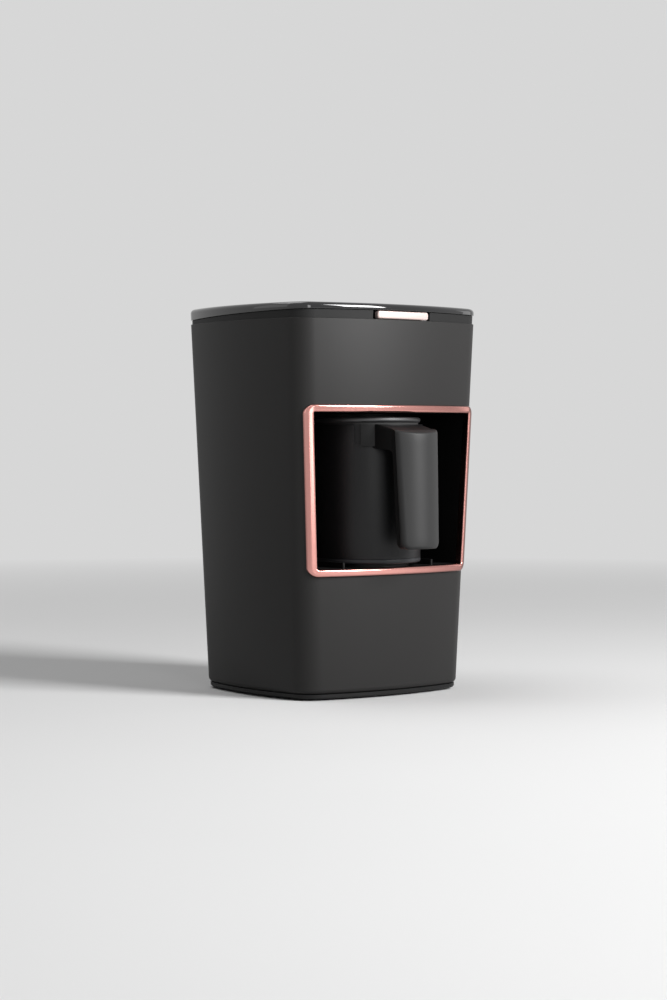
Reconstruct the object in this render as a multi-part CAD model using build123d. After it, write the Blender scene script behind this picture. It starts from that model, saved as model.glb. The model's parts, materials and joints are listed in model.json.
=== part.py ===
from build123d import *
from functools import lru_cache
from math import atan2, cos, degrees, radians, sin, sqrt
import os

# Electric Turkish coffee maker: a tapered housing with bowed walls, a bay with a plug-in pot
# and one start button. Millimetres, +Z up, front towards -Y. The pieces are drawn about the
# vertical axis of the housing, and written about the centre of the whole footprint.

# ---------------------------------------------------------------- overall size
total_height = 250.0
foot_proud = 1.2  # the feet lift the housing this far
base_width = 142.0  # across the side walls, at the lower edge
base_depth = 130.5  # from front wall to back wall, at the lower edge
top_width = 166.5  # the same, at the top face
top_depth = 150.0
front_bow = 215.0  # radius of the bowed front and back walls, in plan
side_bow = 200.0  # radius of the bowed side walls
corner_radius = 18.5
wall = 2.5
rim_wall = 5.0  # thicker wall round the lower edge
rim_height = 8.0
lower_round = 3.2
seat_gap = 0.3  # between a piece and the seat beside it
fine_gap = 0.05  # between a piece and what it is pushed onto
slide_gap = 0.3  # between pieces that move past each other

# ---------------------------------------------------------------- top cover and collar
cover_height = 4.2  # at the front
cover_round = 3.0
seam_drop = 3.7  # the seam under the cover runs down towards the rear by this much
cover_rim = 1.6  # locating rim under the cover
cover_rim_depth = 2.2
collar_height = 5.5  # at the front
collar_inset = 0.9  # the collar is set back from the housing's face
tray_depth = 9.0  # from the housing's top edge down to the tray's floor
tray_wall = 2.0
pillar_radius = 3.6
pillar_in_x = 25.25  # from the top's side wall to the middle of a screw pillar
pillar_in_y = 29.0

# ---------------------------------------------------------------- window, trim frame and bay
window_low = 80.3  # middle line of the trim's lower bar
window_high = 183.6  # middle line of its upper bar
window_margin_low = 13.6  # from the side wall to the middle line of an upright bar
window_margin_high = 13.9
window_round = 3.4
trim_width = 4.9
trim_proud = 2.4
trim_depth = 3.0  # how far the trim reaches behind the housing's face
trim_round = 2.0
bay_back = 14.0
bay_round = 30.0
sill_height = 1.9  # raised disc that the pot stands on
sill_radius = 28.0
stand_width = 5.0  # width of the pot's standing ring on that disc
guide_height = 3.5
guide_thick = 1.6
guide_length = 46.0

# ---------------------------------------------------------------- start button
button_half = 20.7
button_height = 4.9
button_proud = 0.9
button_thick = 3.1
button_round = 1.1
button_side_gap = 2.6
button_lift = 0.3  # above the housing's top edge
button_travel = 1.8
carrier_half = 19.0
carrier_thick = 3.4
carrier_height = 3.2
rail_x = 14.0
rail_width = 4.0
rail_length = 14.5
hook_reach = 2.0
hook_length = 1.6
guide_block = 8.6
guide_block_length = 6.0
pusher_width = 6.0

# ---------------------------------------------------------------- control board
board_thick = 1.6
board_clear = 2.0  # from the front edge of the board to the guides
control_half = 40.0
control_depth = 42.0
control_lift = 6.9  # board's underside above the tray's floor
post_radius = 3.0
switch_size = 6.4
switch_height = 5.4
switch_depth = 5.6
stem_radius = 1.4
stem_bore_gap = 0.1
stem_out = 3.4
stem_in = 2.0
stem_touch = 0.1  # between the pusher and the stem's tip
chip_size = 10.0
chip_height = 1.4
buzzer_radius = 6.0
buzzer_height = 4.4
sound_hole = 0.9
plug_block = (13.0, 6.0, 4.2)
plug_block_wall = 0.9

# ---------------------------------------------------------------- foam sensor
lens_radius = 7.0
lens_flange = 2.0
lens_flange_thick = 1.3
eye_radius = 2.4
eye_spread = 7.0
eye_height = 2.5
sensor_half = 16.5
sensor_depth = 18.0

# ---------------------------------------------------------------- pot
pot_y = -36.5
pot_radius = 35.0
pot_bottom_ring = 3.0
pot_bottom_round = 1.4
pot_wall = 1.8
pot_rim_height = 3.5
seal_height = 1.1
pot_height = 93.4
cup_wall = 0.8
cup_radius = 31.5  # outside of the steel cup
cup_floor_lift = 13.7  # outside of the cup's floor above the pot's underside
cup_floor_round = 5.0
cup_flare = 7.0
plate_thick = 2.6
plate_radius = 29.6
element_radius = 20.0
element_tube = 3.0
element_sweep = 300.0
thermostat_radius = 8.0
thermostat_height = 5.0
terminal_size = (4.8, 0.8, 4.0)
base_screw_radius = 26.8

# ---------------------------------------------------------------- plug and socket
plug_half = 13.0
plug_height = 9.0
plug_reach = 8.0  # how far the plug stands out behind the pot
pin_radius = 1.5
pin_spread = 8.0
pin_reach = 6.5
pin_fit = 0.1
sleeve_wall = 0.6
socket_half = 14.5
socket_height = 12.5
socket_length = 17.0
socket_flange = 3.0
socket_flange_thick = 2.0

# ---------------------------------------------------------------- handle
saddle_angle = 44.0
slot_angle = 51.0
slot_depth = 1.2
saddle_thick = 1.6
saddle_height = 14.0
bridge_half_pot = 20.0
bridge_half_grip = 16.4
bridge_slope = 0.225  # the top runs down towards the grip's front
bridge_under_drop = 2.8  # the underside runs down by this much
bridge_round = 1.2
bridge_web_round = 4.0
grip_half_top = 17.4
grip_half_low = 14.6
grip_lean = 2.4  # the lower end stands further out
grip_back = 12.1  # from the pot's wall to the grip's back face
grip_side = 4.2  # straight depth of the grip's side
grip_bow = 7.0  # how far its front bows out
grip_height = 73.0
grip_drop = 10.2  # from the pot's rim down to the top front edge of the grip
grip_round_low = 4.6
grip_round_high = 2.2
grip_edge = 2.0
grip_wall = 2.2
grip_split = 3.0  # the arm's share of the grip's depth
grip_screw_low = 14.0
grip_screw_high = 44.0
grip_boss = 3.2
saddle_screw_angle = 18.0

# ---------------------------------------------------------------- base, feet and power board
plinth_inset = 1.0  # the base plate's edge is set back from the housing's face
plinth_round = 0.8
base_thick = 2.8
foot_radius = 7.0
foot_in_x = 35.0  # from the side wall to the middle of a foot
foot_in_y = 20.25
foot_pocket = 0.8
screw_in_x = 19.0  # from the side wall to a screw
screw_in_y = 18.25
column_x = 44.0
column_front = -34.0
column_rear = 2.0
column_radius = 5.0
column_bore = 3.3
column_short = 10.0  # the liner's own bosses make up the rest
column_web = 4.0
boss_radius = 4.2
boss_height = 16.0
rib_height = 4.0
rib_thick = 1.6
vent_length = 26.0
vent_width = 2.6
vent_pitch = 6.5
vent_rows = 5
power_half = 33.0
power_front = -30.0
power_rear_in = 19.25  # from the rear wall to the board
power_lift = 8.0
power_inset = 4.5
transformer_size = (26.0, 22.0, 19.0)
core_size = (8.0, 28.0, 15.0)
relay_size = (19.0, 15.5, 15.0)
film_size = (18.0, 9.0, 15.0)
can_radius = 5.0
can_height = 13.0
terminal_block = (24.0, 9.0, 10.0)

# ---------------------------------------------------------------- cord inlet and rear vents
inlet_z = 22.0
inlet_bore = 3.7
inlet_barrel = 5.8
inlet_flange = 8.5
inlet_flange_thick = 2.0
inlet_collar = 1.6
inlet_inner = 4.0
rear_vent_z = 44.0
rear_vent_rows = 5
rear_vent_half = 21.0
rear_vent_width = 2.4
rear_vent_pitch = 5.2

# ---------------------------------------------------------------- screws
shank_radius = 1.45
head_radius = 2.7
head_height = 1.8
small_shank = 1.0
small_head = 1.9
small_head_height = 1.2
part_round = 0.4  # rounded edges of small moulded parts
thin_round = 0.2

# ---------------------------------------------------------------- worked-out heights and places
housing_top = total_height - cover_height - seat_gap - collar_height
collar_top = housing_top + collar_height
cover_low = collar_top + seat_gap
tray_floor = housing_top - tray_depth
plate_low = foot_proud
plate_top = plate_low + base_thick
housing_low = plate_top + seat_gap
bay_floor = window_low + trim_width / 2
bay_ceiling = window_high - trim_width / 2
liner_wall = trim_width / 2 - seat_gap
pot_low = bay_floor + sill_height + slide_gap
pot_top = pot_low + pot_height
cup_floor = pot_low + cup_floor_lift
lip_low = pot_top - pot_rim_height
shell_low = pot_low + pot_bottom_ring
shell_top = lip_low - seal_height
shell_inner = pot_radius - pot_wall
plate_bottom = cup_floor - fine_gap - plate_thick
pot_back = pot_y + pot_radius
plug_face = pot_back + plug_reach
pin_z = shell_low + seat_gap + plug_height / 2
socket_face = plug_face + slide_gap
button_low = housing_top + button_lift
button_mid = button_low + button_height / 2
board_low = tray_floor + control_lift
board_top = board_low + board_thick
grip_top = pot_top - grip_drop
grip_low = grip_top - grip_height
grip_back_y = pot_y - pot_radius - grip_back
grip_front_y = grip_back_y - grip_side - grip_bow - grip_lean * (1 - grip_edge / grip_height)


def lean(low, high):
    """Outward slope of a wall whose full span grows from low to high over the housing."""
    return (high - low) / 2 / (total_height - foot_proud)


def span_at(low, high, z):
    """Half the distance between two opposite walls at height z."""
    return low / 2 + lean(low, high) * (z - foot_proud)


# Places that keep their distance from the walls.
window_half_low = span_at(base_width, top_width, window_low) - window_margin_low
window_half_high = span_at(base_width, top_width, window_high) - window_margin_high
pillar_x, pillar_y = top_width / 2 - pillar_in_x, top_depth / 2 - pillar_in_y
foot_x, foot_y = base_width / 2 - foot_in_x, base_depth / 2 - foot_in_y
screw_x, screw_y = base_width / 2 - screw_in_x, base_depth / 2 - screw_in_y
power_rear = base_depth / 2 - power_rear_in

# Where the whole footprint lies: the back reach is the top cover's, the front reach the grip's.
back_reach = span_at(base_depth, top_depth, total_height - cover_round)
front_reach = -grip_front_y
footprint_middle = (back_reach - front_reach) / 2

# Front of the button and what lies behind it, on the middle plane.
face_y = -span_at(base_depth, top_depth, button_mid)
button_back = face_y - button_proud + button_thick
carrier_front = button_back + fine_gap
carrier_back = carrier_front + carrier_thick
guide_front = carrier_back + button_travel + slide_gap
guide_back = guide_front + guide_block_length
board_front = guide_back + board_clear
switch_front = board_front
stem_tip = switch_front - stem_out


# ---------------------------------------------------------------- shared shapes
def slab(z_low, z_high):
    """Wide flat block between two heights, for cutting other shapes to height."""
    wide = 4 * total_height
    return Pos(0, 0, z_low) * Box(wide, wide, z_high - z_low, align=(Align.CENTER, Align.CENTER, Align.MIN))


def brick(x_low, x_high, y_low, y_high, z_low, z_high):
    """Box between two corners."""
    middle = ((x_low + x_high) / 2, (y_low + y_high) / 2, (z_low + z_high) / 2)
    return Pos(*middle) * Box(x_high - x_low, y_high - y_low, z_high - z_low)


def rod(x, y, z_low, z_high, radius):
    """Upright cylinder."""
    return Pos(x, y, z_low) * Cylinder(radius, z_high - z_low, align=(Align.CENTER, Align.CENTER, Align.MIN))


def bar_y(x, z, y_low, y_high, radius):
    """Cylinder that lies along Y."""
    return Pos(x, (y_low + y_high) / 2, z) * Rot(90, 0, 0) * Cylinder(radius, y_high - y_low)


def mirrored(shape):
    """The shape and its mirror image on the other side of the middle plane."""
    return shape + mirror(shape, about=Plane.YZ)


def bowed_wall(bow, low, high, turn, inset):
    """Everything behind one bowed, leaning wall: a large cylinder, turned to face its own way."""
    slope = lean(low, high)
    stretch = sqrt(1 + slope * slope)
    axis_y = bow * stretch - low / 2
    plane = Plane(origin=(0, axis_y, foot_proud), x_dir=(1, 0, 0), z_dir=(0, -slope, 1))
    return Rot(0, 0, turn) * extrude(plane * Circle(bow - inset), 2 * total_height, both=True)


@lru_cache(maxsize=None)
def bowed_body(inset):
    """The housing's whole outer form, moved inwards by inset, with rounded upright corners."""
    body = slab(-corner_radius, total_height + corner_radius)
    for turn in (0, 180):
        body &= bowed_wall(front_bow, base_depth, top_depth, turn, inset)
    for turn in (90, 270):
        body &= bowed_wall(side_bow, base_width, top_width, turn, inset)
    upright = [e for e in body.edges() if abs((e.tangent_at(0.5)).Z) > 0.9]
    return fillet(upright, corner_radius - inset)


def body_slice(inset, z_low, z_high):
    """The housing's form, moved inwards by inset, between two heights."""
    return bowed_body(inset) & slab(z_low, z_high)


def window_prism(grow, y_low, y_high):
    """The window's tapered outline, grown from the trim's middle line, as a prism along Y."""
    slope = (window_half_high - window_half_low) / (window_high - window_low)
    low, high = window_low - grow, window_high + grow
    half_low = window_half_low + grow - slope * grow
    half_high = window_half_high + grow + slope * grow
    corners = [(-half_low, low), (half_low, low), (half_high, high), (-half_high, high)]
    face = make_face(Polyline(*corners, close=True))
    face = fillet(face.vertices(), window_round + grow)
    return extrude(Plane.XZ.offset(-y_high) * face, y_high - y_low)


def screw(shank, head, head_high, length):
    """Screw that stands on its head: head below z = 0, shank upwards, with a drive recess."""
    body = rod(0, 0, -head_high, 0, head) + rod(0, 0, 0, length, shank)
    drive = rod(0, 0, -head_high, -head_high / 2, head / 3)
    return body - drive


def corner_places(x, y):
    """Four places, one in each quarter."""
    return [(sx * x, sy * y) for sx in (-1, 1) for sy in (-1, 1)]


# ---------------------------------------------------------------- housing
def outer_housing():
    """Tapered shell with four bowed walls, open above and below, with the window and the inlet."""
    outside = body_slice(0, housing_low, housing_top)
    low_edges = outside.faces().sort_by(Axis.Z)[0].edges()
    outside = fillet(low_edges, lower_round)
    rim_top = foot_proud + rim_height
    shell = outside - body_slice(wall, rim_top, total_height)
    shell -= body_slice(rim_wall, 0, rim_top)
    shell -= window_prism(0, -top_depth, 0)
    boss_top = plate_top + boss_height
    bosses = []
    for x, y in corner_places(screw_x, screw_y):
        turn = degrees(atan2(y, x))
        web = Pos(x, y, (plate_top + boss_top) / 2) * Rot(0, 0, turn) * Pos(boss_radius, 0, 0)
        bosses.append(rod(x, y, plate_top, boss_top, boss_radius))
        bosses.append(web * Box(3 * boss_radius, 2 * rib_thick, boss_height))
    shell += bosses[0].fuse(*bosses[1:]) & body_slice(wall / 2, plate_top, boss_top)
    for x, y in corner_places(screw_x, screw_y):
        shell -= rod(x, y, plate_top, boss_top - wall, shank_radius + fine_gap)
    back = span_at(base_depth, top_depth, inlet_z)
    shell -= bar_y(0, inlet_z, back - 2 * wall, back + wall, inlet_barrel + fine_gap)
    shell -= bar_y(0, inlet_z, back - wall / 4, back + wall, inlet_flange + fine_gap)
    for row in range(rear_vent_rows):
        z = rear_vent_z + row * rear_vent_pitch
        slot = Plane.XZ.offset(-top_depth) * Pos(0, z) * SlotOverall(2 * rear_vent_half, rear_vent_width)
        shell -= extrude(slot, top_depth)
    return shell


def band(outer_inset, inner_inset):
    """Skin between two insets of the housing's form."""
    return bowed_body(outer_inset) - bowed_body(inner_inset)


def window_ring(outer_grow, inner_grow):
    """Frame-shaped prism along Y between two outlines of the window."""
    return window_prism(outer_grow, -top_depth, 0) - window_prism(inner_grow, -top_depth, 0)


def edges_between(shape, face_form, side_forms):
    """Edges of a shape that lie on one form's surface and on one of the side forms' surfaces."""
    found = []
    for edge in shape.edges():
        middle = Vertex(*(edge @ 0.5))
        beside = min(form.shell().distance_to(middle) for form in side_forms)
        if max(beside, face_form.shell().distance_to(middle)) < fine_gap / 10:
            found.append(edge)
    return found


def window_frame():
    """Bright trim round the window: a rounded flange on the bowed face and a lip inside the opening."""
    half = trim_width / 2
    trim = window_ring(half, -half) & band(-trim_proud, trim_depth)
    trim -= bowed_body(-fine_gap) - window_prism(-fine_gap, -top_depth, 0)
    outlines = [window_prism(grow, -top_depth, 0) for grow in (half, -half)]
    return fillet(edges_between(trim, bowed_body(-trim_proud), outlines), trim_round)


def cavity_liner():
    """Bay behind the window: floor with the pot's seat and guides, rounded back, ceiling and posts."""
    back = bay_back + liner_wall
    outer = window_prism(-seat_gap, -top_depth, back)
    outer &= bay_plan(-seat_gap, back, bay_round + liner_wall)
    inner = bay_plan(-trim_width / 2, bay_back, bay_round)
    liner = (outer & bowed_body(trim_depth + seat_gap)) - inner
    sill = rod(0, pot_y, bay_floor - liner_wall / 2, bay_floor + sill_height, sill_radius)
    liner += sill & bowed_body(trim_depth + seat_gap)
    guide_x = pot_radius + slide_gap
    guide = brick(
        guide_x,
        guide_x + guide_thick,
        pot_y - guide_length / 2,
        pot_y + guide_length / 2,
        bay_floor - liner_wall / 2,
        bay_floor + guide_height,
    )
    liner += mirrored(fillet(guide.edges().filter_by(Axis.Z), guide_thick / 2 - fine_gap))
    floor_under = bay_floor - liner_wall
    for x, y in column_places():
        boss = rod(x, y, floor_under - column_short, floor_under + liner_wall / 2, column_radius)
        liner += boss - rod(x, y, 0, floor_under, shank_radius + fine_gap)
    ceiling_over = bay_ceiling + liner_wall
    liner -= rod(0, pot_y, bay_ceiling - wall, ceiling_over + wall, lens_radius + fine_gap)
    for x in (-1, 1):
        post_x = x * (sensor_half - post_radius)
        post = rod(post_x, pot_y, ceiling_over - liner_wall / 2, sensor_low(), post_radius)
        liner += post - rod(post_x, pot_y, ceiling_over, sensor_low(), small_shank + fine_gap)
    liner -= socket_cut()
    return liner


def bay_plan(grow, back, radius):
    """Upright tapered block whose plan is the bay's: straight sides and a rounded back."""
    slope = (window_half_high - window_half_low) / (window_high - window_low)
    faces = []
    for z, half in (
        (window_low - grow, window_half_low + grow - slope * grow),
        (window_high + grow, window_half_high + grow + slope * grow),
    ):
        corners = [(-half, -top_depth), (half, -top_depth), (half, back), (-half, back)]
        face = make_face(Polyline(*corners, close=True))
        rear = face.vertices().group_by(Axis.Y)[-1]
        faces.append(Pos(0, 0, z) * fillet(rear, radius))
    return loft(faces, ruled=True)


def column_places():
    """Places of the four columns that carry the bay."""
    return [(sx * column_x, y) for sx in (-1, 1) for y in (column_front, column_rear)]


def sensor_low():
    """Underside of the sensor board."""
    return bay_ceiling + liner_wall + lens_flange_thick + eye_height + 2 * fine_gap


def socket_cut():
    """Opening in the bay's back wall for the power socket."""
    half = socket_height / 2 + fine_gap
    return brick(
        -socket_half - fine_gap,
        socket_half + fine_gap,
        bay_back - wall,
        bay_back + liner_wall + wall,
        pin_z - half,
        pin_z + half,
    )


# ---------------------------------------------------------------- base
def base_plate():
    """Floor and plinth of the housing: screw holes, foot pockets, vents, ribs, posts and columns."""
    plate = body_slice(plinth_inset, plate_low, plate_top)
    plate = chamfer(plate.faces().sort_by(Axis.Z)[0].edges(), plinth_round)
    edge = rim_wall + seat_gap
    upstand = body_slice(edge, plate_top, plate_top + rib_height)
    plate += upstand - body_slice(edge + rib_thick, 0, total_height)
    for x in (-foot_x / 2, foot_x / 2):
        plate += brick(x, x + rib_thick, -screw_y, power_front, plate_top, plate_top + rib_height)
    for x, y in corner_places(screw_x, screw_y):
        keep = shank_radius + slide_gap
        plate -= rod(x, y, plate_top, total_height, boss_radius + 2 * rib_thick)
        plate -= rod(x, y, 0, total_height, keep)
        plate -= rod(x, y, 0, plate_low + head_height + fine_gap, head_radius + slide_gap)
    for x, y in corner_places(foot_x, foot_y):
        plate -= rod(x, y, 0, plate_low + foot_pocket, foot_radius + slide_gap)
    column_top = bay_floor - liner_wall - column_short
    for x, y in column_places():
        column = rod(x, y, plate_top, column_top, column_radius)
        for turn in (0, 90):
            web = Box(2 * column_radius + 2 * column_web, rib_thick, column_top / 2)
            column += Pos(x, y, plate_top + column_top / 4) * Rot(0, 0, turn) * web
        plate += column
        plate -= rod(x, y, 0, column_top - wall, column_bore)
        plate -= rod(x, y, 0, column_top, shank_radius + slide_gap)
    for x, y in power_places():
        plate += rod(x, y, plate_top, plate_top + power_lift, post_radius)
        plate -= rod(x, y, plate_low + wall, plate_top + power_lift, small_shank + fine_gap)
    for row in range(vent_rows):
        y = (row - (vent_rows - 1) / 2) * vent_pitch + power_inset
        slot = Pos(0, y) * SlotOverall(vent_length, vent_width)
        plate -= extrude(slot, 2 * plate_top)
    return plate


def power_places():
    """Screw places of the power board."""
    x = power_half - power_inset
    return [(sx * x, y) for sx in (-1, 1) for y in (power_front + power_inset, power_rear - power_inset)]


def base_screws():
    """Four screws through the base plate into the housing's bosses."""
    height = plate_low + head_height + fine_gap
    one = screw(shank_radius, head_radius, head_height, plate_top + boss_height - wall - fine_gap - height)
    return Compound([Pos(x, y, height) * one for x, y in corner_places(screw_x, screw_y)])


def liner_screws():
    """Four screws up through the columns into the bay's bosses."""
    one = screw(shank_radius, head_radius, head_height, wall + column_short - seat_gap)
    height = bay_floor - liner_wall - column_short - wall
    return Compound([Pos(x, y, height) * one for x, y in column_places()])


def rubber_feet():
    """Four round feet with a rounded lower edge."""
    foot = rod(0, 0, 0, plate_low + foot_pocket, foot_radius)
    foot = chamfer(foot.edges().group_by(Axis.Z)[0], foot_proud / 2)
    return Compound([Pos(x, y, 0) * foot for x, y in corner_places(foot_x, foot_y)])


def cord_gland():
    """Bush in the rear wall that the mains lead passes through: flange, barrel and inner collar."""
    back = span_at(base_depth, top_depth, inlet_z)
    seat = back - wall / 4
    inner = seat - inlet_inner
    gland = bar_y(0, inlet_z, seat, seat + inlet_flange_thick, inlet_flange)
    gland = chamfer(gland.edges().group_by(Axis.Y)[-1], inlet_flange_thick / 2)
    gland += bar_y(0, inlet_z, inner, seat, inlet_barrel)
    gland += bar_y(0, inlet_z, inner - inlet_collar, inner, inlet_barrel)
    return gland - bar_y(0, inlet_z, inner - wall * 2, back + wall * 2, inlet_bore)


# ---------------------------------------------------------------- power board
def power_level():
    """Top of the power board."""
    return plate_top + power_lift + board_thick


def power_board():
    """Mains board on four posts over the base plate."""
    low = plate_top + power_lift
    board = brick(-power_half, power_half, power_front, power_rear, low, low + board_thick)
    board = fillet(board.edges().filter_by(Axis.Z), post_radius / 2)
    for x, y in power_places():
        board -= rod(x, y, 0, total_height, small_shank + fine_gap)
    return board


def power_screws():
    """Screws that hold the power board on its posts."""
    one = Rot(180, 0, 0) * screw(small_shank, small_head, small_head_height, power_lift)
    return Compound([Pos(x, y, power_level()) * one for x, y in power_places()])


def on_board(size, x, y, level, radius):
    """Moulded block standing on a board, its upright and top edges rounded."""
    block = brick(x - size[0] / 2, x + size[0] / 2, y - size[1] / 2, y + size[1] / 2, level, level + size[2])
    edges = block.edges().filter_by(Axis.Z) + block.edges().group_by(Axis.Z)[-1]
    return fillet(edges, radius)


def transformer():
    """Small mains transformer: winding block with a laminated core through it."""
    x, y = -power_half / 3, power_front + transformer_size[1]
    level = power_level() + fine_gap
    coil = on_board(transformer_size, x, y, level, rib_thick)
    core_low = level + (transformer_size[2] - core_size[2]) / 2
    return coil + on_board(core_size, x, y, core_low, thin_round)


def relay():
    """Relay that switches the heater."""
    y = power_rear - power_inset * 2 - relay_size[1] / 2
    return on_board(relay_size, -power_half / 2, y, power_level() + fine_gap, part_round)


def filter_capacitor():
    """Film capacitor across the mains."""
    x = power_half / 2
    return on_board(film_size, x, power_inset, power_level() + fine_gap, part_round)


def electrolytic_can():
    """Round capacitor with a scored top."""
    level = power_level() + fine_gap
    x, y = power_half / 2 + power_inset, power_front + 2 * can_radius + power_inset
    can = rod(x, y, level, level + can_height, can_radius)
    can = chamfer(can.edges().group_by(Axis.Z)[-1], part_round)
    for turn in (0, 60, 120):
        score = Pos(x, y, level + can_height) * Rot(0, 0, turn)
        can -= score * Box(2 * can_radius, part_round, part_round)
    return can


def terminal_strip():
    """Screw terminals where the mains lead ends."""
    x, y = power_half / 3, power_rear - power_inset * 2 - terminal_block[1] / 2
    block = on_board(terminal_block, x, y, power_level() + fine_gap, part_round)
    top = power_level() + fine_gap + terminal_block[2]
    pitch = terminal_block[0] / 3
    for step in (-1, 0, 1):
        block -= rod(x + step * pitch, y, top - terminal_block[2] / 2, top, small_head)
    return block


# ---------------------------------------------------------------- socket in the bay
def pin_places():
    """Places of the three pins across the plug."""
    return [-pin_spread, 0, pin_spread]


def power_socket():
    """Socket through the bay's back wall, with a flange behind it and three pin holes."""
    half = socket_height / 2
    end = socket_face + socket_length
    body = brick(-socket_half, socket_half, socket_face, end, pin_z - half, pin_z + half)
    body = fillet(body.edges().group_by(Axis.Y)[0], rib_thick)
    seat = bay_back + liner_wall + fine_gap
    body += brick(
        -socket_half - socket_flange,
        socket_half + socket_flange,
        seat,
        seat + socket_flange_thick,
        pin_z - half - socket_flange,
        pin_z + half + socket_flange,
    )
    for x in pin_places():
        body -= bar_y(x, pin_z, socket_face - wall, socket_face + wall, pin_radius + slide_gap)
        body -= bar_y(x, pin_z, socket_face + rib_thick, end + wall, sleeve_outer() + fine_gap)
    return body


def sleeve_outer():
    """Outer radius of a contact sleeve."""
    return pin_radius + pin_fit + sleeve_wall


def socket_contacts():
    """Three contact sleeves inside the socket."""
    low = socket_face + rib_thick + fine_gap
    high = socket_face + socket_length + wall
    sleeves = []
    for x in pin_places():
        sleeve = bar_y(x, pin_z, low, high, sleeve_outer())
        sleeves.append(sleeve - bar_y(x, pin_z, low - wall, high - wall, pin_radius + pin_fit))
    return Compound(sleeves)


# ---------------------------------------------------------------- top cover, collar and button
def top_collar():
    """Set-back collar over the housing with the tray under it: floor, pillar holes, posts and guides."""
    inside = wall + seat_gap
    tray = body_slice(inside, tray_floor - tray_wall, housing_top)
    tray += body_slice(collar_inset, housing_top, collar_top) - above_seam(seat_gap)
    tray -= body_slice(inside + tray_wall, tray_floor, total_height)
    notch = button_half + button_side_gap
    tray -= brick(-notch, notch, -top_depth, guide_front, housing_top, total_height)
    for x, y in corner_places(pillar_x, pillar_y):
        tray -= rod(x, y, 0, total_height, shank_radius + slide_gap)
    for x in (-rail_x, rail_x):
        block = brick(
            x - guide_block / 2, x + guide_block / 2, guide_front, guide_back, tray_floor, button_top_level()
        )
        channel = rail_width / 2 + slide_gap
        floor = rail_low() - slide_gap
        block -= brick(x - channel, x + channel, guide_front, guide_back, floor, total_height)
        tray += block
    for x, y in control_places():
        post = rod(x, y, tray_floor, board_low, post_radius)
        tray += post - rod(x, y, tray_floor, board_low, small_shank + fine_gap)
    return tray


def seam_level(y):
    """Height of the cover's underside, which runs down towards the rear."""
    return cover_low - seam_drop * (y / top_depth + 1 / 2)


def above_seam(drop):
    """Everything above the seam under the cover, moved down by drop."""
    wide = 2 * top_depth
    level = Plane(origin=(0, 0, seam_level(0) - drop), x_dir=(1, 0, 0), z_dir=(0, seam_drop / top_depth, 1))
    return extrude(level * Rectangle(wide, wide), top_depth)


def button_top_level():
    """Top of the button's guides, just under the cover."""
    return seam_level(guide_back) - seat_gap


def rail_low():
    """Underside of the carrier's rails."""
    return button_mid - carrier_height / 2


def top_cover():
    """Glossy lid with a rounded edge, deeper towards the rear, with a locating rim and four screw pillars."""
    plate = body_slice(0, housing_top, total_height)
    plate = fillet(plate.faces().sort_by(Axis.Z)[-1].edges(), cover_round) & above_seam(0)
    rim_inset = wall + seat_gap + tray_wall + slide_gap
    rim = body_slice(rim_inset, tray_floor, cover_low) & above_seam(cover_rim_depth)
    rim -= body_slice(rim_inset + cover_rim, 0, total_height)
    gate = button_half + button_side_gap + wall
    rim -= brick(-gate, gate, -top_depth, 0, 0, total_height)
    plate += rim
    for x, y in corner_places(pillar_x, pillar_y):
        pillar = rod(x, y, tray_floor + fine_gap, cover_low, pillar_radius)
        plate += pillar - rod(x, y, 0, cover_low, shank_radius + fine_gap)
    return plate


def cover_screws():
    """Four screws from under the tray into the cover's pillars."""
    one = screw(shank_radius, head_radius, head_height, tray_depth)
    height = tray_floor - tray_wall - fine_gap
    return Compound([Pos(x, y, height) * one for x, y in corner_places(pillar_x, pillar_y)])


def start_button():
    """Bright bar that follows the bow of the front wall, with rounded ends and a rounded front."""
    outline = Pos(0, button_mid) * RectangleRounded(2 * button_half, button_height, button_round * 1.5)
    prism = extrude(Plane.XZ * outline, top_depth)
    bar = prism & band(-button_proud, button_thick - button_proud)
    return fillet(edges_between(bar, bowed_body(-button_proud), [prism]), button_round)


def button_carrier():
    """Slide behind the button: cross bar, two hooked rails and the pusher for the switch."""
    low, high = rail_low(), rail_low() + carrier_height
    bar = brick(-carrier_half, carrier_half, carrier_front - front_bow, carrier_back, low, high)
    carrier = bar & bowed_body(button_thick - button_proud + fine_gap)
    rail_end = carrier_back + rail_length
    hook_low = guide_back + slide_gap
    start = carrier_back - wall / 2
    outer = rail_x + rail_width / 2
    rail = brick(rail_x - rail_width / 2, outer, start, rail_end, low, high)
    rail += brick(outer - wall / 2, outer + hook_reach, hook_low, hook_low + hook_length, low, high)
    carrier += mirrored(rail)
    half = pusher_width / 2
    return carrier + brick(-half, half, start, stem_tip - stem_touch, low, high)


# ---------------------------------------------------------------- control board
def control_places():
    """Screw places of the control board."""
    x = control_half - power_inset
    front = board_front + power_inset
    return [(sx * x, y) for sx in (-1, 1) for y in (front, board_front + control_depth - power_inset)]


def control_board():
    """Low-voltage board on four posts in the tray."""
    rear = board_front + control_depth
    board = brick(-control_half, control_half, board_front, rear, board_low, board_top)
    board = fillet(board.edges().filter_by(Axis.Z), post_radius / 2)
    for x, y in control_places():
        board -= rod(x, y, 0, total_height, small_shank + fine_gap)
    return board


def control_screws():
    """Screws that hold the control board on its posts."""
    one = Rot(180, 0, 0) * screw(small_shank, small_head, small_head_height, control_lift)
    return Compound([Pos(x, y, board_top) * one for x, y in control_places()])


def start_switch():
    """Side-pressed switch at the front edge of the board."""
    half = switch_size / 2
    rear, high = switch_front + switch_depth, board_top + switch_height
    body = brick(-half, half, switch_front, rear, board_top, high)
    body = fillet(body.edges().filter_by(Axis.Y), part_round)
    bore = stem_radius + stem_bore_gap
    return body - bar_y(0, button_mid, switch_front - wall, switch_front + stem_room(), bore)


def stem_room():
    """Depth of the switch's bore: the stem's seat and its travel."""
    return stem_in + button_travel + slide_gap


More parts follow.
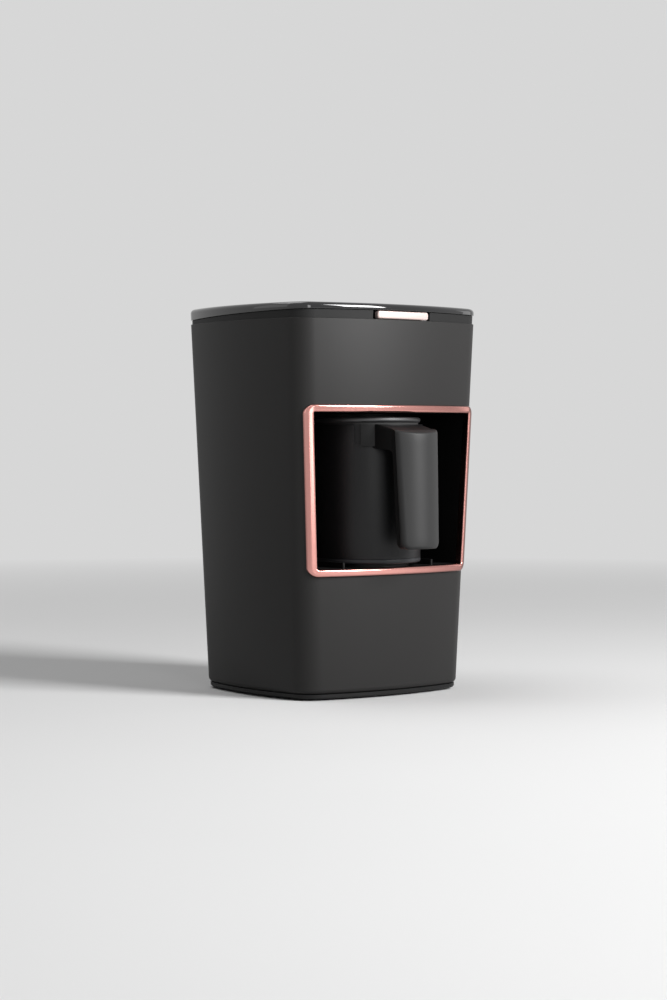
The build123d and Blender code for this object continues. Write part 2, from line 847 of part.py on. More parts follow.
def switch_stem():
    """Round stem of the switch."""
    stem = bar_y(0, button_mid, stem_tip, switch_front + stem_in, stem_radius)
    return chamfer(stem.edges().group_by(Axis.Y)[0], stem_radius / 4)


def logic_chip():
    """Flat controller with legs along two sides."""
    x, y = control_half / 3, board_front + control_depth / 2
    chip = on_board((chip_size, chip_size, chip_height), x, y, board_top + fine_gap, thin_round)
    legs = []
    for step in range(-3, 4):
        for side in (-1, 1):
            leg_x = x + side * (chip_size / 2 + rib_thick / 4)
            leg_y = y + step * chip_size / 8
            leg = Box(rib_thick, chip_size / 20, chip_height / 3)
            legs.append(Pos(leg_x, leg_y, board_top + chip_height / 3) * leg)
    return chip.fuse(*legs)


def buzzer():
    """Round buzzer with a sound hole."""
    x, y = -control_half / 2, board_front + control_depth / 2
    low = board_top + fine_gap
    can = rod(x, y, low, low + buzzer_height, buzzer_radius)
    can = chamfer(can.edges().group_by(Axis.Z)[-1], part_round)
    return can - rod(x, y, low + buzzer_height / 2, low + buzzer_height, sound_hole)


def board_connector():
    """Pin header that the harness from the power board meets."""
    x, y = 0, board_front + control_depth - plug_block[1]
    low = board_top + fine_gap
    shell = on_board(plug_block, x, y, low, part_round)
    inner_x = plug_block[0] / 2 - plug_block_wall
    inner_y = plug_block[1] / 2 - plug_block_wall
    high = low + plug_block[2]
    shell -= brick(x - inner_x, x + inner_x, y - inner_y, y + inner_y, low + plug_block_wall, high)
    for step in (-1, 0, 1):
        shell += rod(x + step * plug_block[0] / 4, y, low, high - plug_block_wall, plug_block_wall / 2)
    return shell


# ---------------------------------------------------------------- foam sensor
def sensor_lens():
    """Clear window in the bay's ceiling with a flange above it."""
    over = bay_ceiling + liner_wall
    lens = rod(0, pot_y, bay_ceiling, over + fine_gap, lens_radius)
    lens += rod(0, pot_y, over + fine_gap, over + fine_gap + lens_flange_thick, lens_radius + lens_flange)
    return chamfer(lens.edges().group_by(Axis.Z)[0], part_round)


def sensor_board():
    """Small board over the lens."""
    low = sensor_low()
    half_depth = sensor_depth / 2
    board = brick(-sensor_half, sensor_half, pot_y - half_depth, pot_y + half_depth, low, low + board_thick)
    board = fillet(board.edges().filter_by(Axis.Z), rib_thick)
    for side in (-1, 1):
        board -= rod(side * (sensor_half - post_radius), pot_y, 0, total_height, small_shank + fine_gap)
    return board


def sensor_eyes():
    """Emitter and receiver that look down through the lens."""
    high = sensor_low() - fine_gap
    eyes = []
    for side in (-1, 1):
        eye = rod(side * eye_spread / 2, pot_y, high - eye_height + fine_gap, high, eye_radius)
        eyes.append(chamfer(eye.edges().group_by(Axis.Z)[0], eye_radius / 3))
    return Compound(eyes)


def sensor_screws():
    """Two screws that hold the sensor board."""
    one = Rot(180, 0, 0) * screw(small_shank, small_head, small_head_height, eye_height + board_thick)
    high = sensor_low() + board_thick
    return Compound([Pos(side * (sensor_half - post_radius), pot_y, high) * one for side in (-1, 1)])


# ---------------------------------------------------------------- pot
def about_pot(face):
    """Solid of revolution about the pot's axis, from a face in the XZ plane."""
    return Pos(0, pot_y, 0) * revolve(Plane.XZ * face, Axis.Z)


def pot_sector(radius_low, radius_high, angle, z_low, z_high):
    """Part of a ring about the pot's axis, as wide as angle to each side of the front."""
    ring = rod(0, pot_y, z_low, z_high, radius_high) - rod(0, pot_y, z_low, z_high, radius_low)
    far = 2 * radius_high
    x, y = far * sin(radians(angle)), far * cos(radians(angle))
    wedge = make_face(Polyline((0, 0), (-x, -y), (0, -2 * far), (x, -y), close=True))
    return ring & Pos(0, pot_y, z_low) * extrude(wedge, z_high - z_low)


def steel_cup():
    """Inner steel cup: rounded floor, flared neck and a rolled lip over the outer wall."""
    neck_low = lip_low - cup_flare
    neck = shell_inner - 2 * fine_gap
    outer = make_face(
        Polyline(
            (0, cup_floor),
            (cup_radius, cup_floor),
            (cup_radius, neck_low),
            (neck, lip_low),
            (pot_radius, lip_low),
            (pot_radius, pot_top),
            (0, pot_top),
            close=True,
        )
    )
    outer = fillet(outer.vertices().group_by(Axis.Y)[0].sort_by(Axis.X)[-1], cup_floor_round)
    outer = fillet(outer.vertices().sort_by(Axis.X)[-2:], pot_rim_height / 2 - fine_gap)
    inner = make_face(
        Polyline(
            (0, cup_floor + cup_wall),
            (cup_radius - cup_wall, cup_floor + cup_wall),
            (cup_radius - cup_wall, neck_low),
            (neck - cup_wall, lip_low),
            (neck - cup_wall, total_height),
            (0, total_height),
            close=True,
        )
    )
    inner = fillet(inner.vertices().group_by(Axis.Y)[0].sort_by(Axis.X)[-1], cup_floor_round - cup_wall)
    return about_pot(outer) - about_pot(inner)


def pot_shell():
    """Outer wall of the pot, with the plug's opening at the back and a slot beside the handle's saddle."""
    shell = rod(0, pot_y, shell_low + fine_gap, shell_top, pot_radius)
    shell -= rod(0, pot_y, 0, total_height, shell_inner)
    half, high = plug_half + fine_gap, plug_low() + plug_height + fine_gap
    shell -= brick(-half, half, pot_y, pot_back + wall, 0, high)
    slot_low = saddle_low() + rib_thick
    slot = pot_sector(pot_radius - slot_depth, pot_radius + wall, slot_angle, slot_low, total_height)
    shell -= slot - pot_sector(0, 2 * pot_radius, saddle_angle, 0, total_height)
    for place in saddle_screw_places():
        shell -= place * bar_y(0, 0, -pot_radius - wall, 0, small_shank + fine_gap)
    return shell


def plug_low():
    """Underside of the plug."""
    return shell_low + seat_gap


def saddle_low():
    """Lower edge of the handle's saddle."""
    return shell_top - saddle_height


def saddle_screw_places():
    """Where the saddle's screws stand: turned about the pot's axis at half the saddle's height."""
    height = saddle_low() + saddle_height / 2
    return [Pos(0, pot_y, height) * Rot(0, 0, side * saddle_screw_angle) for side in (-1, 1)]


def rim_seal():
    """Soft ring between the steel lip and the outer wall."""
    ring = rod(0, pot_y, shell_top, lip_low, pot_radius - pot_bottom_round)
    return ring - rod(0, pot_y, 0, total_height, shell_inner)


def pot_base():
    """Lower cover of the pot: standing ring, spigot, screw columns and recessed underside."""
    base = rod(0, pot_y, pot_low, shell_low, pot_radius)
    base = fillet(base.edges().group_by(Axis.Z)[0], pot_bottom_round)
    base -= rod(0, pot_y, 0, pot_low + pot_bottom_ring / 4, sill_radius - stand_width)
    spigot = rod(0, pot_y, shell_low, shell_low + pot_bottom_ring, shell_inner - fine_gap)
    spigot -= rod(0, pot_y, 0, total_height, shell_inner - rib_thick)
    opening = plug_half + seat_gap
    base += spigot - brick(-opening, opening, pot_y, pot_back, shell_low, total_height)
    for place in pot_screw_places():
        base += place * rod(0, 0, shell_low - rib_thick / 2, plate_bottom - fine_gap, post_radius)
        base -= place * rod(0, 0, 0, total_height, small_shank + fine_gap)
        base -= place * rod(0, 0, 0, pot_screw_level(), small_head + fine_gap)
    return base


def pot_screw_places():
    """Places of the three screws under the pot."""
    return [
        Pos(0, pot_y, 0) * Rot(0, 0, turn) * Pos(0, base_screw_radius, 0) for turn in (60, 180, 300)
    ]


def pot_screw_level():
    """Height at which the heads of the pot's screws seat."""
    return pot_low + pot_bottom_ring / 4 + small_head_height + fine_gap


def pot_base_screws():
    """Three screws from under the pot into the heating plate."""
    length = cup_floor - fine_gap - pot_screw_level() - plate_thick / 4
    one = screw(small_shank, small_head, small_head_height, length)
    return Compound([place * Pos(0, 0, pot_screw_level()) * one for place in pot_screw_places()])


def heating_plate():
    """Aluminium disc under the cup, bored for the screws."""
    plate = rod(0, pot_y, plate_bottom, cup_floor - fine_gap, plate_radius)
    plate = chamfer(plate.edges().group_by(Axis.Z)[0], plate_thick / 4)
    for place in pot_screw_places():
        plate -= place * rod(0, 0, 0, cup_floor - plate_thick / 6, small_shank + fine_gap)
    return plate


def heating_element():
    """Tubular heater bent to a horseshoe, with a cold pin down from each end."""
    height = plate_bottom - fine_gap - element_tube
    face = Pos(element_radius, height) * Circle(element_tube)
    start = 90 + (360 - element_sweep) / 2
    ring = Rot(0, 0, start) * revolve(Plane.XZ * face, Axis.Z, element_sweep)
    for turn in (start, start + element_sweep):
        ring += Rot(0, 0, turn) * rod(element_radius, 0, shell_low + seat_gap, height, rib_thick / 2)
    return Pos(0, pot_y, 0) * ring


def thermostat():
    """Round thermostat pressed against the plate, with two blade terminals."""
    high = plate_bottom - fine_gap
    body = rod(0, pot_y, high - thermostat_height, high, thermostat_radius)
    body = chamfer(body.edges().group_by(Axis.Z)[0], rib_thick / 2)
    long, thick, wide = terminal_size
    for side in (-1, 1):
        blade = Pos(side * (thermostat_radius + long / 4), pot_y, high - thermostat_height / 2)
        body += blade * Box(long, wide, thick)
    return body


def pot_plug():
    """Plug block at the back of the pot that the three pins stand in."""
    inner = pot_y + shell_inner - pot_wall
    block = brick(-plug_half, plug_half, inner, plug_face, plug_low(), plug_low() + plug_height)
    block = fillet(block.edges().group_by(Axis.Y)[-1], rib_thick / 2)
    for x in pin_places():
        block -= bar_y(x, pin_z, pot_y, plug_face + wall, pin_radius + fine_gap)
    return block


def plug_pins():
    """Three round pins with chamfered ends."""
    inner = pot_y + plate_radius + seat_gap
    pins = []
    for x in pin_places():
        pin = bar_y(x, pin_z, inner, plug_face + pin_reach, pin_radius)
        pins.append(chamfer(pin.edges().group_by(Axis.Y)[-1], pin_radius / 2))
    return Compound(pins)


# ---------------------------------------------------------------- handle
def leaning(y, z):
    """Plane across the handle at (y, z), square to the grip's leaning axis."""
    return Plane(origin=(0, y, z), x_dir=(1, 0, 0), z_dir=(0, grip_lean / grip_height, 1))


def grip_outline(inset):
    """Tapered front outline of the grip with rounded lower corners, as a prism along Y."""
    half_low, half_top = grip_half_low - inset, grip_half_top - inset
    high = grip_top + bridge_slope * (grip_side + grip_bow) + grip_round_high
    low = grip_low + inset
    corners = [(-half_low, low), (half_low, low), (half_top, high), (-half_top, high)]
    face = make_face(Polyline(*corners, close=True))
    face = fillet(face.vertices().group_by(Axis.Y)[0], grip_round_low - inset / 2)
    return extrude(Plane.XZ.offset(-pot_y) * face, 4 * pot_radius)


def grip_front(inset):
    """Everything behind the grip's bowed, leaning front."""
    bow = (grip_half_top**2 + grip_bow**2) / (2 * grip_bow)
    stretch = sqrt(1 + (grip_lean / grip_height) ** 2)
    middle = grip_back_y - grip_side - grip_bow + bow * stretch
    return extrude(leaning(middle, grip_top) * Circle(bow - inset), 2 * grip_height, both=True)


def grip_form(inset):
    """Whole grip: outline, bowed front, leaning back and a top that runs down forwards."""
    grip = grip_outline(inset) & grip_front(inset)
    rounded = edges_between(grip, grip_front(inset), [grip_outline(inset)])
    rounded = [edge for edge in rounded if (edge @ 0.5).Z < grip_top - grip_round_high]
    grip = fillet(rounded, grip_edge)
    return grip & behind_plane(inset) & under_top(inset)


def behind_plane(inset):
    """Everything in front of the grip's leaning back face, moved forwards by inset."""
    wide = 8 * pot_radius
    sheet = leaning(grip_back_y - inset - wide / 2, grip_top) * Rectangle(wide, wide)
    return extrude(sheet, 2 * grip_height, both=True)


def under_top(inset):
    """Everything under the handle's sloping top, moved down by inset."""
    front = grip_back_y - grip_side - grip_bow
    wide = 8 * pot_radius
    top = Plane(origin=(0, front, grip_top - inset), x_dir=(1, 0, 0), z_dir=(0, -bridge_slope, 1))
    return extrude(top * Rectangle(wide, wide), -2 * grip_height)


def handle_arm():
    """Saddle on the pot, bridge and the back of the grip in one moulding."""
    outside = pot_radius + saddle_thick
    saddle = pot_sector(pot_radius + fine_gap, outside, saddle_angle, saddle_low(), shell_top)
    back = grip_form(0) - behind_plane(grip_split)
    near, far = pot_y - pot_radius / 2, grip_back_y - grip_split / 2
    under_pot = saddle_low() + fine_gap
    under_grip = under_pot - bridge_under_drop
    corners = [(near, under_pot), (far, under_grip), (far, total_height), (near, total_height)]
    side = make_face(Polyline(*corners, close=True))
    bridge = extrude(Plane.YZ * side, 2 * pot_radius, both=True)
    plan = make_face(
        Polyline(
            (-bridge_half_pot, near),
            (bridge_half_pot, near),
            (bridge_half_grip, far),
            (-bridge_half_grip, far),
            close=True,
        )
    )
    plan = extrude(plan, total_height)
    bridge &= plan
    bridge &= under_top(0)
    bridge = fillet(edges_between(bridge, under_top(0), [plan]), bridge_round)
    bridge &= slab(0, shell_top)
    bridge -= rod(0, pot_y, 0, total_height, pot_radius + fine_gap)
    arm = saddle + bridge + back
    corner = Vertex(0, grip_face(under_grip), under_grip)
    arm = fillet(arm.edges().filter_by(Axis.X).sort_by(corner.distance_to)[0], bridge_web_round)
    for z in grip_screw_heights():
        arm -= bar_y(0, z, grip_front_y, 0, small_shank + fine_gap)
        arm -= bar_y(0, z, grip_screw_seat(z), grip_back_y + wall, small_head + fine_gap)
    for place in saddle_screw_places():
        arm -= place * bar_y(0, 0, saddle_screw_tip(), 0, small_shank + fine_gap)
    return arm


def grip_screw_heights():
    """Heights of the two screws between the arm and the grip's cover."""
    return [grip_low + grip_screw_low, grip_low + grip_screw_high]


def grip_face(z):
    """Y of the grip's leaning back face at height z."""
    return grip_back_y - grip_lean / grip_height * (grip_top - z)


def grip_screw_seat(z):
    """Y at which the head of a grip screw seats."""
    return grip_face(z) - small_head_height - fine_gap


def grip_screw_length():
    """Length of a grip screw's shank."""
    return grip_split + grip_side - small_head_height


def saddle_screw_tip():
    """How far out from the pot's axis the saddle's screws reach, towards the front."""
    return -pot_radius - saddle_thick - grip_back / 3


def grip_cover():
    """Front shell of the grip, hollow behind, with two screw bosses."""
    cover = grip_form(0) & behind_plane(grip_split + seat_gap)
    hollow = grip_form(grip_wall) & behind_plane(grip_split)
    shell = cover - hollow
    for z in grip_screw_heights():
        shell += bar_y(0, z, grip_face(z) - grip_side - grip_bow, grip_back_y, grip_boss) & cover
        tip = grip_screw_seat(z) - grip_screw_length() - fine_gap
        shell -= bar_y(0, z, tip, grip_back_y, small_shank + fine_gap)
    return shell


def grip_screws():
    """Two screws from the finger side into the front shell."""
    one = Rot(90, 0, 0) * screw(small_shank, small_head, small_head_height, grip_screw_length())
    return Compound([Pos(0, grip_screw_seat(z), z) * one for z in grip_screw_heights()])


def saddle_screws():
    """Two screws from inside the outer wall into the saddle."""
    length = -saddle_screw_tip() - shell_inner - fine_gap
    one = Rot(90, 0, 0) * screw(small_shank, small_head, small_head_height, length)
    return Compound([place * Pos(0, -shell_inner + fine_gap, 0) * one for place in saddle_screw_places()])


# ---------------------------------------------------------------- all pieces
pieces = [
    outer_housing,
    window_frame,
    cavity_liner,
    top_collar,
    top_cover,
    cover_screws,
    start_button,
    button_carrier,
    control_board,
    control_screws,
    start_switch,
    switch_stem,
    logic_chip,
    buzzer,
    board_connector,
    sensor_lens,
    sensor_board,
    sensor_eyes,
    sensor_screws,
    power_socket,
    socket_contacts,
    base_plate,
    base_screws,
    liner_screws,
    rubber_feet,
    cord_gland,
    power_board,
    power_screws,
    transformer,
    relay,
    filter_capacitor,
    electrolytic_can,
    terminal_strip,
    pot_shell,
    steel_cup,
    rim_seal,
    pot_base,
    pot_base_screws,
    heating_plate,
    heating_element,
    thermostat,
    pot_plug,
    plug_pins,
    handle_arm,
    grip_cover,
    grip_screws,
    saddle_screws,
]

os.makedirs("parts", exist_ok=True)
for piece in pieces:
    solids = (Pos(0, -footprint_middle, 0) * piece()).solids()
    export_step(Compound(solids) if len(solids) > 1 else solids[0], f"parts/{piece.__name__}.step")
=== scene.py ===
import json
from functools import cache, partial
from math import atan2, copysign, cos, hypot, pi, radians, sin, sqrt
from types import SimpleNamespace

import bmesh
import bpy
from mathutils import Matrix, Vector


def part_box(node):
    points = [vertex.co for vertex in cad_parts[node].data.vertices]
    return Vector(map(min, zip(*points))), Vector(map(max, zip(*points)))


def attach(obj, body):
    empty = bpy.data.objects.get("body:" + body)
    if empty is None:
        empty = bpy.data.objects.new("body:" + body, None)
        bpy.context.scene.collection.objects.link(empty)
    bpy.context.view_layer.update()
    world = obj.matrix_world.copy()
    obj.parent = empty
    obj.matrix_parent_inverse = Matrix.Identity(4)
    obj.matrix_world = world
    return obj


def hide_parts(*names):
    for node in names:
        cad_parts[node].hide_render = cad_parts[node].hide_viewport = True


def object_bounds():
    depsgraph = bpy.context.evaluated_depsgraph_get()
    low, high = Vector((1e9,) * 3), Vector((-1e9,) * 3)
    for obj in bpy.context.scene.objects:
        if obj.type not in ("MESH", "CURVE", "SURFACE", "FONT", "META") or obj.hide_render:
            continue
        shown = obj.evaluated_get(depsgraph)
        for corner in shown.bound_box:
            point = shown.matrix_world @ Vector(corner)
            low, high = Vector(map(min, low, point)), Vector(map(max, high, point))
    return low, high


bl_info = {
    "name": "Turkish coffee maker",
    "version": (1, 0, 0),
    "blender": (4, 5, 0),
    "location": "View3D > Sidebar > Coffee maker",
    "description": "Dresses the packed coffee maker with finished pieces, materials and a studio",
    "category": "Object",
}

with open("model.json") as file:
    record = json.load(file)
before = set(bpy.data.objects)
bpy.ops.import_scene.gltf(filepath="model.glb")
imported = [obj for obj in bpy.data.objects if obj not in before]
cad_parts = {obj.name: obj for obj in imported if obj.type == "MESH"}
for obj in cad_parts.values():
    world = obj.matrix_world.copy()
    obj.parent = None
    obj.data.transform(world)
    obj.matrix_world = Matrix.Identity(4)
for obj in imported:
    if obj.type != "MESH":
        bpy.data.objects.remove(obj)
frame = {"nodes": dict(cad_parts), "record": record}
cad_low, cad_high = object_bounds()

# ---------------------------------------------------------------- places read from the frame
plate_low, plate_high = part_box("top_cover")
housing_low, housing_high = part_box("outer_housing")
plinth_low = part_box("base_plate")[0]
bar_low, bar_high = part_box("start_button")
wall_low, wall_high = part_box("pot_shell")
cup_low, cup_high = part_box("steel_cup")
pot_foot_low, pot_foot_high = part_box("pot_base")
plug_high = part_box("pot_plug")[1]
grip_low, grip_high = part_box("grip_cover")
gland_low, gland_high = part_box("cord_gland")
feet_low, feet_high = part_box("rubber_feet")
base_screws_low, base_screws_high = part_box("base_screws")
grip_screws_low, grip_screws_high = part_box("grip_screws")
pot_screws_low, pot_screws_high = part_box("pot_base_screws")

housing_y = (plate_low.y + plate_high.y) / 2
pot_y = (wall_low.y + wall_high.y) / 2
pot_radius = (wall_high.x - wall_low.x) / 2
foot_level = plinth_low.z
top_level = plate_high.z
hair = 0.00004  # keeps a dressed piece just inside the piece that it stands for
same = 1e-6  # places closer than this are one
white = (1.0, 1.0, 1.0, 1.0)

# ---------------------------------------------------------------- fineness of the meshes
front_steps, corner_steps, side_steps = 26, 18, 22  # points along a quarter of the housing's plan
turn_steps, foot_steps, inlet_steps, screw_steps = 192, 64, 96, 48  # faces round turned pieces
trim_across, trim_up = 64, 12  # cuts along the trim
grip_across, grip_up = 28, 10  # cuts in the grip's shell
bar_across = 24  # cuts in the start bar
seam_steps, edge_steps, break_steps, bevel_steps = 3, 4, 5, 6  # along small roundings
bend_steps, round_steps, lip_steps, fine_steps = 7, 8, 9, 12  # along large roundings
shell_angle, cut_angle, plate_angle = 32.0, 40.0, 50.0  # faces that meet at less are shaded as one
nearly = 0.999  # keeps the two roundings of a slot's end apart
bevel_samples, edge_gain = 6, 6.0  # of the worn edges in the materials
OUT, UP, IN, DOWN = 0, 90, 180, -90  # which way a turned profile faces, in degrees


# ---------------------------------------------------------------- sizes and colours a user may change
def length(name, description, default):
    """A size property in metres."""
    unit = {"unit": "LENGTH", "subtype": "DISTANCE", "precision": 5, "min": 0.0}
    return bpy.props.FloatProperty(name=name, description=description, default=default, **unit)


def turn(name, description, default):
    """An angle property, given in degrees."""
    angle = radians(default)
    return bpy.props.FloatProperty(name=name, description=description, default=angle, subtype="ANGLE")


def number(name, description, default):
    """A property without a unit."""
    return bpy.props.FloatProperty(name=name, description=description, default=default)


def colour(name, description, default):
    """A colour property in linear light."""
    return bpy.props.FloatVectorProperty(
        name=name, description=description, default=default, size=3, min=0.0, max=1.0, subtype="COLOR"
    )


class HousingSizes(bpy.types.PropertyGroup):
    """Form of the tapered housing, its trim, its top plate and its start bar."""

    base_width: length("Base width", "Across the side walls at the lower edge", 0.142)
    base_depth: length("Base depth", "Front wall to back wall at the lower edge", 0.1305)
    top_width: length("Top width", "Across the side walls at the top face", 0.1665)
    top_depth: length("Top depth", "Front wall to back wall at the top face", 0.150)
    front_bow: length("Front bow", "Plan radius of the bowed front and back walls", 0.215)
    side_bow: length("Side bow", "Plan radius of the bowed side walls", 0.2)
    corner: length("Corner", "Radius of the upright corners", 0.0185)
    wall: length("Wall", "Thickness of the housing's wall", 0.0025)
    rim_wall: length("Rim wall", "Thickness of the wall round the lower edge", 0.005)
    rim_top: length("Rim height", "Height at which the thick rim ends", 0.0092)
    lower_round: length("Lower rounding", "Rounding of the lower edge", 0.0032)
    upper_round: length("Upper rounding", "Soft break of the upper edge", 0.0005)
    plate_edge: length("Plate edge", "Height of the top plate's edge at the front", 0.0042)
    plate_round: length("Plate rounding", "Rounding of the top plate's edge", 0.003)
    seam_drop: length("Seam drop", "How far the seam under the plate falls towards the rear", 0.0037)
    seam_soft: length("Seam edge", "Soft break of the plate's lower edge", 0.00025)
    bar_proud: length("Bar stand-out", "How far the start bar stands proud", 0.0009)
    bar_thick: length("Bar thickness", "Thickness of the start bar", 0.0031)
    bar_corner: length("Bar corner", "Corner radius of the start bar", 0.00165)
    bar_round: length("Bar rounding", "Rounding of the start bar's edges", 0.0011)


class WindowSizes(bpy.types.PropertyGroup):
    """The window and its trim, the vents and the lead's inlet."""

    low: length("Lower bar", "Height of the trim's lower middle line", 0.0803)
    high: length("Upper bar", "Height of the trim's upper middle line", 0.1836)
    half_low: length("Lower half width", "To the middle line of an upright bar, at the bottom", 0.061295)
    half_high: length("Upper half width", "To the middle line of an upright bar, at the top", 0.066081)
    corner: length("Window corner", "Corner radius of the trim's middle line", 0.0034)
    trim_width: length("Trim width", "Width of the trim's bars", 0.0049)
    trim_proud: length("Trim stand-out", "How far the trim stands proud of the wall", 0.0024)
    trim_depth: length("Trim depth", "How far the trim reaches into the bay", 0.003)
    trim_round: length("Trim rounding", "Rounding of the trim's edges", 0.0015)
    fit: length("Fit", "Play between the trim and the wall", 0.00005)
    vent_low: length("Lowest vent", "Height of the lowest rear vent", 0.044)
    vent_pitch: length("Vent pitch", "From one rear vent to the next", 0.0052)
    vent_half: length("Vent half length", "Half the length of a rear vent", 0.021)
    vent_width: length("Vent width", "Height of a rear vent", 0.0024)
    vents: bpy.props.IntProperty(name="Vents", description="Number of rear vents", default=5)
    inlet_flange: length("Inlet flange", "Thickness of the inlet bush's flange", 0.002)
    inlet_barrel: length("Inlet barrel", "Radius of the inlet bush's barrel", 0.0058)
    inlet_bore: length("Inlet bore", "Radius of the bore for the lead", 0.0037)


class PotSizes(bpy.types.PropertyGroup):
    """Form of the pot and its handle."""

    wall: length("Pot wall", "Thickness of the pot's outer wall", 0.0018)
    edge: length("Wall edge", "Soft break of the wall's edges", 0.0003)
    lip_height: length("Lip height", "Height of the steel lip", 0.0035)
    lip_soft: length("Lip inner edge", "Rounding of the lip's inner edge", 0.0005)
    cup_radius: length("Cup radius", "Outside radius of the steel cup", 0.0315)
    cup_wall: length("Cup wall", "Sheet thickness of the cup", 0.0008)
    cup_flare: length("Cup flare", "Height of the flared neck", 0.007)
    cup_neck: length("Cup neck", "Play between the neck and the outer wall", 0.0001)
    floor_round: length("Floor rounding", "Rounding between the cup's floor and wall", 0.005)
    foot_height: length("Foot height", "Height of the pot's lower ring", 0.003)
    foot_round: length("Foot rounding", "Rounding of the pot's lower edge", 0.0014)
    foot_recess: length("Foot recess", "Depth of the recess under the pot", 0.00075)
    foot_ring: length("Standing ring", "Inner radius of the ring that the pot stands on", 0.023)
    slot_depth: length("Slot depth", "Depth of the slots beside the handle", 0.0012)
    slot_drop: length("Slot length", "From the wall's top to the slot's end", 0.0124)
    slot_width: length("Slot width", "Width of a slot", 0.0043)
    slot_turn: turn("Slot place", "Turn of a slot's middle from the front", 47.5)
    screw_ring: length("Screw ring", "Radius on which the pot's screws stand", 0.0268)
    screw_play: length("Screw hole play", "What the cutter of a screw's hole has to spare", 0.004)
    grip_half_top: length("Grip upper half width", "Half the grip's width at its top", 0.0174)
    grip_half_low: length("Grip lower half width", "Half the grip's width at its bottom", 0.0146)
    grip_height: length("Grip height", "Height of the grip's front", 0.073)
    grip_back: length("Grip gap", "From the pot's wall to the grip's back face", 0.0121)
    grip_side: length("Grip side", "Straight depth of the grip's side", 0.0042)
    grip_bow: length("Grip bow", "How far the grip's front bows out", 0.007)
    grip_lean: length("Grip lean", "How far the lower end stands further out", 0.0024)
    grip_split: length("Grip split", "From the grip's back face to the front shell", 0.0033)
    grip_corner: length("Grip corner", "Radius of the grip's lower corners", 0.0046)
    grip_edge: length("Grip edge", "Rounding of the grip's front edge", 0.002)
    grip_top_edge: length("Grip top edge", "Rounding of the grip's upper edge", 0.0012)
    grip_slope: number("Grip slope", "Fall of the handle's top towards the front", 0.225)


class HardwareSizes(bpy.types.PropertyGroup):
    """Feet and screws."""

    foot_radius: length("Foot radius", "Radius of a rubber foot", 0.007)
    foot_edge: length("Foot edge", "Rounding of a foot's groove; its rim is twice as round", 0.0005)
    head: length("Base screw head", "Head radius of the base screws", 0.0027)
    head_height: length("Base screw head height", "Height of the base screws' heads", 0.0018)
    shank: length("Base screw shank", "Shank radius of the base screws", 0.00145)
    small_head_height: length("Small head height", "Height of the small screws' heads", 0.0012)
    small_shank: length("Small shank", "Shank radius of the small screws", 0.001)
    cross_long: number("Cross length", "Length of a cross recess in head radii", 1.2)
    cross_wide: number("Cross width", "Width of a cross recess in head radii", 0.3)


class FinishColours(bpy.types.PropertyGroup):
    """Colours of the visible finishes."""

    housing: colour("Housing", "Soft-touch housing", (0.0175, 0.0168, 0.0165))
    collar: colour("Collar", "Collar between housing and top plate", (0.012, 0.012, 0.012))
    plate: colour("Top plate", "Gloss top plate", (0.006, 0.006, 0.007))
    rose: colour("Trim", "Rose-gold plating", (0.75, 0.355, 0.315))
    pearl: colour("Start bar", "Pearl lacquer of the start bar", (0.86, 0.68, 0.64))
    grip: colour("Grip", "Soft grey of the grip", (0.019, 0.019, 0.0192))
    pot: colour("Pot", "Dark coating of the pot", (0.010, 0.010, 0.0108))
    # The pot ring is lighter and bluer than the pot: partly its own grey, partly a painted highlight along
    # the pot's foot.
    pot_ring_and_highlight: colour("Pot ring", "Lower ring of the pot", (0.030, 0.031, 0.034))
    black: colour("Black parts", "Satin black mouldings", (0.006, 0.006, 0.0062))
    floor: colour("Floor", "Studio floor and backdrop", (0.80, 0.80, 0.80))


class StageSizes(bpy.types.PropertyGroup):
    """Camera and lamps."""

    azimuth: turn("Azimuth", "How far left of the front the camera stands", 37.6)
    distance: length("Distance", "From the housing's axis to the camera", 1.488)
    eye: length("Eye height", "Height of the camera", 0.1646)
    lens: bpy.props.FloatProperty(
        name="Lens", description="Focal length", default=81.0, subtype="DISTANCE_CAMERA"
    )
    lift: number("Lift", "Upright shift of the lens", -0.0614)
    slide: number("Slide", "Sideways shift of the lens", 0.0015)
    near: length("Near", "Nearest distance that the camera sees", 0.01)
    far: length("Far", "Furthest distance that the camera sees", 50.0)
    floor: length("Floor", "Side of the square floor", 24.0)
    fade_start: length("Fade start", "Where the floor begins to melt into the backdrop", 0.35)
    fade_length: length("Fade length", "Over what distance it does so", 1.3)
    backdrop: number("Backdrop", "Brightness of the backdrop", 0.68)
    ambient: number("Ambient", "Light of the room", 0.08)
    bounce: number("Bounce", "Share of light the floor throws back", 0.25)
    aim: length("Aim", "Height that the lamps point at", 0.14)
    key_lamp: number("Key lamp", "Power of the softbox at the front right", 47.0)
    left_strip: number("Left strip", "Power of the strip lamp at the front left", 1.2)
    right_strip: number("Right strip", "Power of the strip lamp at the right", 0.4)
    fill_lamp: number("Fill lamp", "Power of the lamp at the left rear", 1.5)
    top_lamp: number("Top lamp", "Power of the lamp above the rear", 12.0)


def sizes(of="housing"):
    """One of this scene's groups of sizes: housing, window, pot, hardware, finish or stage."""
    return getattr(bpy.context.scene, "coffee_" + of)


# ---------------------------------------------------------------- shader maths
class Wire:
    """A shader socket that works in Python expressions: each operator adds its Math node."""

    def __init__(self, recipe, socket):
        self.recipe = recipe
        self.socket = socket

    def math(self, operation, *values, clamp=False):
        """One Math node with this socket first."""
        wanted = dict(enumerate((self, *values)))
        return self.recipe.node("ShaderNodeMath", {"operation": operation, "use_clamp": clamp}, wanted)

    def __add__(self, other):
        return self.math("ADD", other)

    __radd__ = __add__

    def __mul__(self, other):
        return self.math("MULTIPLY", other)

    def __sub__(self, other):
        return self.math("SUBTRACT", other)

    def __rsub__(self, other):
        return self.recipe.node("ShaderNodeMath", {"operation": "SUBTRACT"}, {0: other, 1: self})

    def __truediv__(self, other):
        return self.math("DIVIDE", other)

    def clamped(self):
        """Held between 0 and 1."""
        return self.math("ADD", 0.0, clamp=True)


